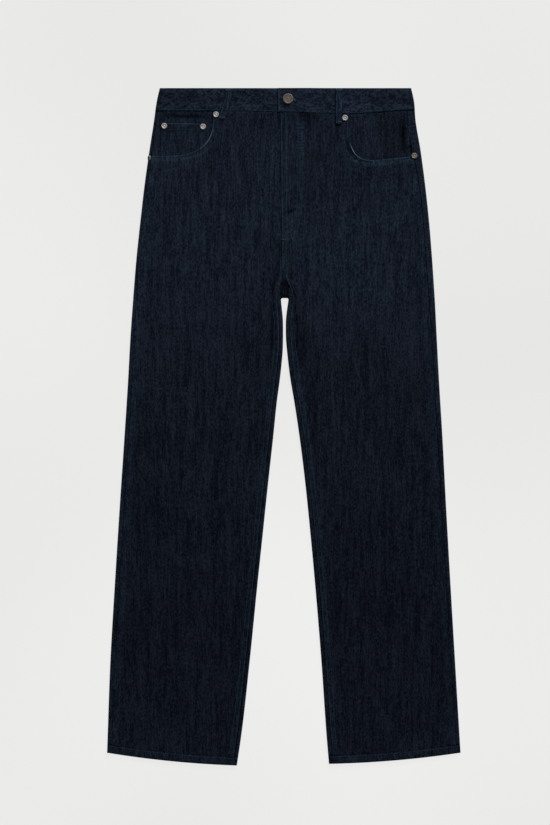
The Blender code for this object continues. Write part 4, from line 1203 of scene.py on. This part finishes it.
def pocketPlace(side, u, v, inset=0.0):
    # a place on the patch, u from -1 to 1 across and v from 0 at the top to 1 at the foot
    look = backPocket
    x = u * (mix(look["topWidth"], look["bottomWidth"], v) / 2 - inset)
    foot = mix(look["point"], look["bottom"], np.abs(u)) - inset
    middle = (look["top"] + look["point"]) / 2
    rise = middle - mix(look["top"] + inset, foot, v)
    turn = math.radians(look["tilt"] * sides[side])
    turnedX = x * math.cos(turn) - rise * math.sin(turn)
    return look["middle"][side] + turnedX, middle - x * math.sin(turn) - rise * math.cos(turn)


def pocketRows(side):
    near = np.array(backPocket["nearEdge"])
    ladder = np.concatenate([near, np.linspace(0.14, 0.86, 34), 1 - near[::-1]])
    u, v = np.meshgrid(ladder * 2 - 1, ladder)
    x, down = pocketPlace(side, u, v)
    fromEdge = np.minimum((1 - np.abs(u)) * backPocket["half"], np.minimum(v, 1 - v) * backPocket["tall"])
    height = 0.7 * edgeRoll(fromEdge, 0.9) + 0.12 * (1 + unevenness(x, down, 22, 95)) * ramp(fromEdge, 2, 14)
    height += 0.12 * bell(fromEdge - backPocket["stitchLine"], 1)
    return stacked(x, down, height), np.clip(0.7 * bell(fromEdge, 1.3), 0, 1)


for side in sides:
    rows, wear = pocketRows(side)
    dress(f"back_pocket_{side}_cloth", f"back_pocket_{side}", rows, backPocket["cloth"], up=False, wear=wear)
print("back pockets made")


sewing = {
    "pitch": 3.3,
    "stitch": 2.7,
    "radius": 0.33,
    "sides": 6,
    # along, size and rise of a stitch's rings, which dip into the cloth at both ends
    "rings": (
        (-0.5, 0.35, -0.30), (-0.36, 0.85, -0.02), (0, 1, 0.10), (0.36, 0.85, -0.02), (0.5, 0.35, -0.30),
    ),
    "castFrom": 50.0,  # a stitch is dropped on the cloth from this height
    "double": 6.4,  # between the two rows of a double seam
    "edge": 1.7,  # from the first row to the cloth's edge
    "tackPitch": 0.55,
    "tackWidth": 2.6,
    "tackLean": 0.12,
    "loopTack": 9.0,
    "tackForm": (0.36, -0.12),  # radius and sink, which is below 0 where a stitch stands proud
    "holeForm": (2.3, 0.34, -0.1),  # length, radius and sink round the buttonhole
    "holePitch": 0.62,
    "crotch": ((-3.6, 325.2), (5.8, 324.2)),  # the crotch seam's end, seen in the fork
}


def clothSurface(*names):
    # several pieces as one surface to lay stitches on
    verts, faces = [], []
    for name in names:
        mesh = pieces[name].data
        start = len(verts)
        verts += [vertex.co.copy() for vertex in mesh.vertices]
        faces += [[start + corner for corner in face.vertices] for face in mesh.polygons]
    return BVHTree.FromPolygons(verts, faces)


def circle(count):
    turns = 2 * np.pi * np.arange(count) / count
    return np.cos(turns), np.sin(turns)


def tubeFaces(rings, count):
    # walls between rings of corners, and the faces that close the first and the last ring
    walls = []
    for ring in range(rings - 1):
        for corner in range(count):
            low, high = ring * count, (ring + 1) * count
            after = (corner + 1) % count
            walls.append((high + corner, high + after, low + after, low + corner))
    return walls, tuple(range(count)), tuple(reversed(range((rings - 1) * count, rings * count)))


class Thread:
    # collects stitches, then makes them one piece
    def __init__(self, name):
        self.name = name
        self.spots = []

    def lay(self, surface, place, direction, below=False, length=sewing["stitch"],
            radius=sewing["radius"], sink=0.0):
        # one stitch on the cloth over or under a place
        x, y, height = toWorld((*place, sewing["castFrom"]))
        start = Vector((x, y, -height if below else height))
        hit, normal = surface.ray_cast(start, Vector((0, 0, 1 if below else -1)))[:2]
        if hit is None:
            return
        if (normal.z > 0) == below:
            normal = -normal
        if below:
            hit.z = max(hit.z, radius * 1.35 * mm)  # clear of the floor
        along = Vector((direction[0], -direction[1], 0.0)).normalized()
        along = (along - normal * along.dot(normal)).normalized()
        self.spots.append((hit - normal * sink * mm, along, normal, length, radius))

    def row(self, surface, line, below=False):
        # stitches at even distances along a line of (x, down)
        count = max(int(alongLine(line)[-1] / sewing["pitch"]), 1)
        fine = evenPoints(line, 2 * count + 1)
        for index in range(1, 2 * count, 2):
            self.lay(surface, fine[index], fine[index + 1] - fine[index - 1], below)

    def tack(self, surface, centre, direction, length, below=False, width=sewing["tackWidth"]):
        # a bar of close stitches across a short line
        direction = np.array(direction) / np.linalg.norm(direction)
        across = np.array((-direction[1], direction[0]))
        count = int(length / sewing["tackPitch"])
        for index in range(count):
            place = np.array(centre) + direction * (index - (count - 1) / 2) * sewing["tackPitch"]
            lean = direction * (sewing["tackLean"] if index % 2 else -sewing["tackLean"])
            self.lay(surface, place, across + lean, below, width, *sewing["tackForm"])

    def make(self):
        cos, sin = circle(sewing["sides"])
        along, size, rise = np.array(sewing["rings"]).T[:, :, None]
        form = stacked(along, size * cos, size * sin + rise * 1.3 + 0.35).reshape(-1, 3)
        walls, first, last = tubeFaces(len(sewing["rings"]), sewing["sides"])
        verts, faces = [], []
        for centre, direction, normal, length, radius in self.spots:
            axes = np.array((direction * length, normal.cross(direction) * radius, normal * radius))
            start = len(verts) * len(form)
            verts.append(np.array(centre) + form @ axes * mm)
            faces += [tuple(start + corner for corner in face) for face in (*walls, first, last)]
        pieces[self.name] = makeMesh(self.name, np.concatenate(verts), faces)


def straight(start, end, count=40):
    return mix(np.array(start, float), np.array(end, float), np.linspace(0, 1, count)[:, None])


edge = sewing["edge"]
second = edge + sewing["double"]
bandSurface = clothSurface("waistband_cloth")
underSurface = {side: clothSurface(f"back_{side}", f"yoke_{side}_cloth") for side in sides}

# the front's own seams
thread = Thread("front_stitches")
for side in sides:
    surface = clothSurface(f"front_{side}")
    for gap in (edge, second):
        thread.row(surface, mouthLine(side, 200, gap)[3:-3])
    path = innerPaths[side]
    for gap in (edge, second - 0.2):
        reach = path["seam"] + cut["slopeGap"] + gap
        thread.row(surface, (path["line"] + path["into"] * reach[:, None])[200:])
downs = np.linspace(42, 318, 120)
for gap in (edge, second):
    thread.row(surface, stacked(centreFront(downs) + gap, downs))
for name in ("outer", "inner"):
    thread.row(surface, smoothLine(fly[name]))
for centre, direction, length in fly["tacks"]:
    thread.tack(surface, centre, direction, length)
thread.row(clothSurface("back_right", "back_left"), straight(*sewing["crotch"]))
thread.make()

thread = Thread("coin_pocket_stitches")
surface = clothSurface("coin_pocket_cloth")
outer, inner, top = (coinPocket[key] for key in ("outerX", "innerX", "top"))
for gap in (edge, coinPocket["hem"] - 1.6):
    thread.row(surface, straight((outer + 1.4, top + gap), (inner - 1.2, top + gap + coinPocket["topFall"])))
for gap in (1.5, 6.8):
    thread.row(surface, straight((outer + gap, top + 2), (outer + gap, 112)))
    thread.row(surface, straight((inner - gap, top + 3), (inner - gap, 104)))
thread.make()

thread = Thread("waistband_stitches")
lapX = waistband["lapEdge"] + edge
for start, end in ((-198.0, waistband["lapEdge"] - 1), (lapX, 203.0)):
    x = np.linspace(start, end, 160)
    thread.row(bandSurface, stacked(x, 1.8))
    thread.row(bandSurface, stacked(x, bandFront(x) - 1.9))
thread.row(bandSurface, straight((lapX, 3), (lapX, 36)))
x = np.linspace(-196, 201, 160)
for down in (1.8, bandBack(x) - 1.9):
    thread.row(bandSurface, stacked(x, down), below=True)
thread.make()

# the worked buttonhole, round the eye and down both sides of the slit, with a bar at its end
thread = Thread("buttonhole_stitches")
x, down = waistband["button"]
spokes = []
for turn in np.radians(np.linspace(28, 332, 34)):
    spoke = np.array((math.cos(turn), math.sin(turn)))
    spokes.append((np.array((x, down)) + spoke * (waistband["eyeRadius"] + 1.0), spoke))
for across in np.arange(x + 3.4, x + waistband["slitReach"] - 0.2, sewing["holePitch"]):
    spokes += [((across, down + way * 1.75), (0, way)) for way in (-1, 1)]
for place, spoke in spokes:
    thread.lay(bandSurface, place, spoke, False, *sewing["holeForm"])
thread.tack(bandSurface, (x + waistband["slitReach"] + 1.0, down + 1.6), (0.1, 1), 3.6)
thread.make()


def cutKeyhole(piece):
    # the eye for the shank and the slit that runs from it
    look = waistband
    x, down = look["button"]
    end, slit = x + look["slitReach"], look["slitWidth"] / 2
    turns = np.linspace(0.25, 2 * math.pi - 0.25, 24)
    eye = np.array((x, down)) + look["eyeRadius"] * stacked(np.cos(turns), np.sin(turns))
    outline = [*eye, (end, down - slit), (end + 0.6, down), (end, down + slit)]
    verts = [(*point, look["upperHeight"] + rise) for rise in (-3.2, 2.0) for point in outline]
    walls, low, high = tubeFaces(2, len(outline))
    cutter = makeMesh("keyhole_cutter", toWorld(verts), [low, high, *walls])
    shape = piece.modifiers.new("keyhole", "BOOLEAN")
    shape.object = cutter
    shape.operation = "DIFFERENCE"
    shape.solver = "FAST"
    bpy.context.view_layer.update()
    whole = bpy.data.meshes.new_from_object(piece.evaluated_get(bpy.context.evaluated_depsgraph_get()))
    piece.modifiers.clear()
    piece.data = whole
    bpy.data.objects.remove(cutter)


cutKeyhole(pieces["waistband_cloth"])

thread = Thread("belt_loop_stitches")
outs = [way * (loops["width"] / 2 - loops["stitchLine"]) for way in (-1, 1)]
for name, shape in loops["front"].items():
    surface = clothSurface(f"{name}_cloth")
    middle, down = loopMiddle(shape, np.linspace(0.05, 0.95, 30))
    for out in outs:
        thread.row(surface, stacked(middle + out, down))
    for place in (shape["topX"], 4.2), (shape["endX"] + 0.2, shape["length"] - 3.0):
        thread.tack(surface, place, (1, 0), sewing["loopTack"])
for name, middle in loops["back"].items():
    surface = clothSurface(f"{name}_cloth")
    for out in outs:
        thread.row(surface, straight((middle + out, 4), (middle + out, 49)), below=True)
    for down in (3.6, loops["backLength"] - 3.0):
        thread.tack(surface, (middle, down), (1, 0), sewing["loopTack"], below=True)
thread.make()

thread = Thread("hem_stitches")
for side in sides:
    surface = clothSurface(f"hem_{side}_cloth")
    ends = (outerEdge[side](1050) - sides[side] * 3, innerEdge[side](1068) + sides[side] * 3)
    x = np.linspace(min(ends), max(ends), 120)
    for below in (False, True):
        thread.row(surface, stacked(x, hemLine(side, x, cut["hemDepth"] - 2.0)), below)
thread.make()

# yokes, back pockets and centre back
thread = Thread("back_stitches")
for side, toward in sides.items():
    outer = outerEdge[side](cut["yokeSide"]) - toward * 3
    for gap in (edge, second):
        seam = straight((cut["centre"] + toward, cut["yokeCentre"] + gap), (outer, cut["yokeSide"] + gap))
        thread.row(underSurface[side], seam, below=True)
    surface = clothSurface(f"back_pocket_{side}_cloth")
    for inset in (edge, second):
        corners = [pocketPlace(side, u, v, inset) for u, v in ((-1, 0), (-1, 1), (0, 1), (1, 1), (1, 0))]
        for first, following in zip(corners, corners[1:]):
            thread.row(surface, straight(first, following), below=True)
    for drop in (edge, 12.0):
        ends = [pocketPlace(side, u, drop / backPocket["tall"]) for u in (-0.97, 0.97)]
        thread.row(surface, straight(*ends), below=True)
    for u in (-0.96, 0.96):
        thread.tack(surface, pocketPlace(side, u, 0.035), (0, 1), 8.0, below=True)
downs = np.linspace(102, 322, 100)
for gap in (edge, second):
    thread.row(underSurface["left"], stacked(cut["centre"] + gap, downs), below=True)
thread.make()
print("sewing made,", sum(len(pieces[name].data.polygons) for name in pieces if "stitches" in name), "faces")


rivet = {
    "radius": 4.7,
    "steps": 40,
    # out from the axis, height
    "profile": (
        (0, 1.55), (0.35, 1.54), (0.75, 1.44), (1.05, 1.2), (1.3, 1.02), (1.7, 0.96), (2.3, 0.98),
        (2.6, 1.12), (2.8, 1.42), (3.05, 1.7), (3.4, 1.86), (3.8, 1.84), (4.15, 1.62), (4.45, 1.26),
        (4.65, 0.8), (4.7, 0.4), (4.7, 0), (0, 0),
    ),
    "lying": (
        "rivet_mouth_right", "rivet_mouth_left", "rivet_side_left", "rivet_coin_outer", "rivet_coin_inner",
    ),
    "tilted": "rivet_side_right",  # it stands on the right side's fold
    "tilt": 25,
    "settled": (2.8, -2.4, 0.0),  # pressed into the fold
    "aged": ("rivet_side_left_metal", "rivet_side_right_metal"),
}
button = {
    "steps": 64,
    "cap": 2.6,  # from the shank's end to the rim's top
    "profile": (
        (0, 2.3), (0.9, 2.28), (1.5, 2.2), (1.85, 2.05), (2.2, 2.0), (2.8, 2.04), (5.6, 2.1), (6.0, 2.16),
        (6.35, 2.36), (6.7, 2.5), (7.1, 2.52), (7.6, 2.4), (8.05, 2.05), (8.4, 1.5), (8.5, 1.0), (8.4, 0.55),
        (8.1, 0.2), (7.2, 0), (2.3, 0),
    ),
    "shank": 2.3,
    "beads": 26,
    "beadRing": 4.5,
    "beadHeight": 2.02,
    "beadRadius": 0.36,
    "beadSides": 8,
    "beadProfile": ((1, -0.2), (0.86, 0.42), (0.45, 0.8)),
    "beadTop": 0.95,
}


def turned(solid, profile, steps, place, look=(0.0, 0.0, 1.0)):
    # a profile turned round its axis, in place of a solid
    mesh = bpy.data.meshes.new(f"{solid}_metal")
    verts = [(radius * mm, 0.0, height * mm) for radius, height in profile]
    mesh.from_pydata(verts, [(index, index + 1) for index in range(len(verts) - 1)], [])
    made = linked(f"{solid}_metal", mesh)
    screw = made.modifiers.new("turn", "SCREW")
    screw.steps = steps
    screw.render_steps = steps
    screw.use_merge_vertices = True
    screw.merge_threshold = 0.00001
    screw.use_smooth_shade = True
    made.rotation_euler = Vector(look).to_track_quat("Z", "Y").to_euler()
    made.location = place
    pieces[made.name] = made
    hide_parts(solid)


def footOf(solid):
    low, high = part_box(solid)
    return Vector(((low.x + high.x) / 2, (low.y + high.y) / 2, low.z))


for name in rivet["lying"]:
    turned(name, rivet["profile"], rivet["steps"], footOf(name))

low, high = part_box(rivet["tilted"])
tilt = math.radians(rivet["tilt"])
reach = rivet["radius"] * mm
base = Vector((high.x - reach * math.sin(tilt), (low.y + high.y) / 2, low.z + reach * math.cos(tilt)))
base += Vector(rivet["settled"]) * mm
turned(rivet["tilted"], rivet["profile"], rivet["steps"], base, (-math.cos(tilt), 0, math.sin(tilt)))

low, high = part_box("shank_button")
rise = (high.z - low.z) / mm - button["cap"]
profile = [(out, rise + up) for out, up in button["profile"]] + [(button["shank"], 0), (0, 0)]
turned("shank_button", profile, button["steps"], footOf("shank_button"))


def makeBeads(name, height, place):
    # a ring of round-topped beads on the button's face
    look = button
    rings, count = len(look["beadProfile"]), look["beadSides"]
    out, up = np.array(look["beadProfile"]).T[:, :, None]
    cos, sin = circle(count)
    bead = np.vstack([stacked(out * cos, out * sin, up).reshape(-1, 3), (0, 0, look["beadTop"])])
    walls, first, last = tubeFaces(rings, count)
    rim = last[::-1]
    tops = [(corner, after, rings * count) for corner, after in zip(rim, rim[1:] + rim[:1])]
    form = [face[::-1] for face in walls] + tops + [first[::-1]]
    centres = stacked(*(look["beadRing"] * part for part in circle(look["beads"])), height)
    verts = (centres[:, None, :] + look["beadRadius"] * bead).reshape(-1, 3)
    starts = range(0, len(verts), len(bead))
    faces = [tuple(start + corner for corner in face) for start in starts for face in form]
    pieces[name] = makeMesh(name, verts * mm + np.array(place), faces)


makeBeads("shank_button_beads", rise + button["beadHeight"], footOf("shank_button"))
print("metal made")


class Shade:
    # one socket of a node tree; maths on it adds nodes
    def __init__(self, tree, socket=None):
        self.tree = tree
        self.socket = socket

    def add(self, kind, settings=None, sockets=None, output=0):
        made = self.tree.nodes.new(kind)
        for name, value in (settings or {}).items():
            if name == "stops":
                while len(made.color_ramp.elements) < len(value):
                    made.color_ramp.elements.new(0.5)
                for element, (place, colour) in zip(made.color_ramp.elements, value):
                    element.position = place
                    element.color = (*colour, 1)
            else:
                setattr(made, name, value)
        for name, value in (sockets or {}).items():
            if isinstance(value, Shade):
                self.tree.links.new(value.socket, made.inputs[name])
            else:
                made.inputs[name].default_value = value
        return Shade(self.tree, made.outputs[output])

    def value(self, operation, first, second=0.0, clamp=False):
        return self.add("ShaderNodeMath", {"operation": operation, "use_clamp": clamp}, {0: first, 1: second})

    def __add__(self, other):
        return self.value("ADD", self, other)

    def __radd__(self, other):
        return self.value("ADD", other, self)

    def __sub__(self, other):
        return self.value("SUBTRACT", self, other)

    def __rsub__(self, other):
        return self.value("SUBTRACT", other, self)

    def __mul__(self, other):
        return self.value("MULTIPLY", self, other)

    def __rmul__(self, other):
        return self.value("MULTIPLY", other, self)

    def clamped(self):
        return self.value("ADD", self, 0.0, clamp=True)

    def place(self):
        return self.add("ShaderNodeTexCoord", output=3)

    def field(self, name):
        return self.add("ShaderNodeAttribute", {"attribute_name": name}, output=2)

    def noise(self, place, stretch, detail=1.0, roughness=0.5):
        scaled = self.add("ShaderNodeVectorMath", {"operation": "MULTIPLY"}, {0: place, 1: stretch})
        sockets = {"Vector": scaled, "Scale": 1.0, "Detail": detail, "Roughness": roughness}
        return self.add("ShaderNodeTexNoise", {}, sockets)

    def mixed(self, share, first, second, blend="MIX"):
        colours = [value if isinstance(value, Shade) else (*value, 1) for value in (first, second)]
        return self.add("ShaderNodeMix", {"data_type": "RGBA", "blend_type": blend, "clamp_factor": True},
                        {0: share, 6: colours[0], 7: colours[1]}, output=2)

    def feeds(self, shader, name):
        self.tree.links.new(self.socket, shader.inputs[name])


def newMaterial(name, roughness, metallic=0.0, specular=0.5, sheen=0.0):
    made = bpy.data.materials.new(name)
    made.use_nodes = True
    shader = made.node_tree.nodes["Principled BSDF"]
    shader.inputs["Roughness"].default_value = roughness
    shader.inputs["Metallic"].default_value = metallic
    shader.inputs["Specular IOR Level"].default_value = specular
    shader.inputs["Sheen Weight"].default_value = sheen
    return made, shader, Shade(made.node_tree)


denim = {
    # painted tone over 1.5, and the colour there: the dye's own, down to near black at 0, where painted shade
    # lies deepest
    "dyeAndShade": (
        (0.0, (0.0006, 0.0008, 0.0012)), (0.27, (0.0103, 0.0138, 0.0265)), (1.0, (0.0219, 0.0326, 0.0600)),
    ),
    "palest": 1.5,
    "hollow": (0.42, 0.45, 0.52),  # share of the dye's colour between threads
    "slub": (2.05, 1.98, 1.68),  # and on thick threads
    "worn": (0.0620, 0.1420, 0.2250),  # rubbed edges and seams
    "bare": (0.30, 0.34, 0.38),  # where the wear is over 1
    "slubs": ((420, 42), (460, 240), (150, 11)),  # thick places of the warp, per metre across and along
    "bandSlubs": ((240, 130), (340, 320), (100, 36)),
    "clouds": (42.0, 30.0, 42.0),
    "contrast": 1.62,
    "bandContrast": 1.22,
    "weave": 230.0,
    "roughness": 0.88,
    "specular": 0.03,
    "bump": 0.35,
    "bumpDepth": 0.0006,
}


def makeDenim(name, slubs, contrast=1.0, acrossBand=False):
    made, shader, shade = newMaterial(name, denim["roughness"], 0.0, denim["specular"])
    place = shade.place()
    coarseSize, fineSize, broadSize = (
        (along, across, across) if acrossBand else (across, along, across) for across, along in slubs
    )
    coarse = shade.noise(place, coarseSize, 3.5, 0.58)
    fine = shade.noise(place, fineSize, 2.0)
    broad = shade.noise(place, broadSize)
    cloudy = shade.noise(place, denim["clouds"], 2.0)
    threads = (coarse - 0.5) * 1.12 + (fine - 0.5) * 1.38 + (broad - 0.5) * 0.5
    weave = shade.add("ShaderNodeTexWave", {"bands_direction": "DIAGONAL"},
                      {"Vector": place, "Scale": denim["weave"], "Distortion": 2.0, "Detail": 1.0})
    # the tone field carries painted light and painted shade along with the dye's tone
    tone, wear = shade.field("tone"), shade.field("wear")
    threads = threads * denim["contrast"] * contrast
    level = (0.36 + threads + (cloudy - 0.5) * 0.28 + (weave - 0.5) * 0.06).clamped()
    dyeAndShade = shade.add("ShaderNodeValToRGB", {"stops": denim["dyeAndShade"]}, {"Fac": tone * (1 / denim["palest"])})
    cloth = shade.mixed(1.0, dyeAndShade, shade.mixed(level, denim["hollow"], denim["slub"]), "MULTIPLY")
    rubbed = (wear * (0.55 + (fine - 0.5) * 1.6 + (coarse - 0.5) * 1.0)).clamped()
    colour = shade.mixed(rubbed, cloth, denim["worn"])
    shade.mixed((wear - 1.0).clamped(), colour, denim["bare"]).feeds(shader, "Base Color")
    height = coarse * 0.5 + fine * 0.35 + weave * 0.15
    sockets = {"Strength": denim["bump"], "Distance": denim["bumpDepth"], "Height": height}
    shade.add("ShaderNodeBump", {}, sockets).feeds(shader, "Normal")
    return made


def makeThread(name, dark, pale):
    made, shader, shade = newMaterial(name, 0.6, 0.0, 0.25, 0.05)
    place = shade.place()
    twist = shade.noise(place, (900.0, 900.0, 900.0))
    along = shade.noise(place, (60.0, 60.0, 60.0))
    level = (0.4 + (twist - 0.5) * 1.2 + (along - 0.5) * 0.9).clamped()
    shade.mixed(level, dark, pale).feeds(shader, "Base Color")
    return made


def makeMetal(name, clean, tarnish, roughness, spots=700.0, metallic=0.4):
    made, shader, shade = newMaterial(name, roughness, metallic)
    place = shade.place()
    cloud = shade.noise(place, (spots, spots, spots), 3.0, 0.6)
    grain = shade.noise(place, (spots * 5, spots * 5, spots * 5))
    level = (0.35 + (cloud - 0.5) * 3.2).clamped()
    shade.mixed(level, clean, tarnish).feeds(shader, "Base Color")
    (roughness + (grain - 0.5) * 0.25 + level * 0.12).clamped().feeds(shader, "Roughness")
    return made


denimPanels = makeDenim("denim_along", denim["slubs"])
denimBand = makeDenim("denim_across", denim["bandSlubs"], denim["bandContrast"], acrossBand=True)
darkThread = makeThread("navy_thread", (0.012, 0.030, 0.052), (0.045, 0.095, 0.140))
paleThread = makeThread("blue_thread", (0.045, 0.090, 0.130), (0.140, 0.230, 0.300))
rivetMetal = makeMetal("tarnished_silver", (0.86, 0.81, 0.77), (0.55, 0.51, 0.48), 0.5)
agedMetal = makeMetal("aged_silver", (0.48, 0.42, 0.35), (0.26, 0.22, 0.18), 0.55)
buttonMetal = makeMetal("antique_metal", (0.31, 0.265, 0.225), (0.15, 0.128, 0.108), 0.6, 600.0, 0.35)
print("materials made")


# Each piece's material, and what it rides on
for name, piece in pieces.items():
    if "stitches" in name:
        material, slot = paleThread if name == "buttonhole_stitches" else darkThread, "thread"
    elif name.startswith("rivet"):
        material, slot = agedMetal if name in rivet["aged"] else rivetMetal, "rivet_metal"
    elif name.startswith("shank_button"):
        material, slot = buttonMetal, "button_metal"
    else:
        material, slot = denimBand if name == "waistband_cloth" else denimPanels, "denim"
    piece.data.materials.clear()
    piece.data.materials.append(material)
    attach(piece, "root")


studio = {
    "floorColour": (0.10, 0.10, 0.10),
    # the floor glows, a little unevenly, so that the cloth casts almost no shadow on it
    "floorGlow": 0.785,
    "floorGlowTones": ((0.93, 0.93, 0.915), (1.06, 1.06, 1.055)),
    "floorDown": 0.0004,  # just under the cloth
    "sky": 0.10,
    "sun": {"toward": (0.42, 1.0, 0.62), "softness": 20.0, "power": 1.9},
    "lens": 100.0,
    "sensor": 36.0,
    "distance": 3.667,
    "clothHeight": 0.006,
    "centre": (-0.0141, 0.02155),
}

bpy.ops.mesh.primitive_plane_add(size=64.0, location=(0, 0, -studio["floorDown"]))
floor = bpy.context.object
floor.name = "floor"
material, shader, shade = newMaterial("pale_floor", 0.9, 0.0, 0.1)
mottle = shade.noise(shade.place(), (1.2, 1.2, 1.2))
shade.mixed((mottle - 0.5) * 1.6 + 0.5, *studio["floorGlowTones"]).feeds(shader, "Emission Color")
shader.inputs["Base Color"].default_value = (*studio["floorColour"], 1)
shader.inputs["Emission Strength"].default_value = studio["floorGlow"]
floor.data.materials.append(material)
floor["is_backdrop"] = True

world = bpy.data.worlds.new("studio")
bpy.context.scene.world = world
world.use_nodes = True
world.node_tree.nodes["Background"].inputs["Color"].default_value = (1.0, 1.0, 1.0, 1)
world.node_tree.nodes["Background"].inputs["Strength"].default_value = studio["sky"]

sun = studio["sun"]
light = bpy.data.lights.new("window", "SUN")
light.energy = sun["power"]
light.angle = math.radians(sun["softness"])
lamp = linked("window", light)
lamp.location = Vector(sun["toward"]) * 2
lamp.rotation_euler = Vector(sun["toward"]).to_track_quat("Z", "Y").to_euler()

lens = bpy.data.cameras.new("camera")
lens.lens = studio["lens"]
lens.sensor_width = studio["sensor"]
lens.clip_end = 50.0
camera = linked("camera", lens)
camera.location = (*studio["centre"], studio["distance"] + studio["clothHeight"])
bpy.context.scene.camera = camera
bpy.context.scene.view_settings.view_transform = "Standard"

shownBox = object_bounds()
{"cad": [list(corner) for corner in solidBox], "visual": [list(corner) for corner in shownBox]}
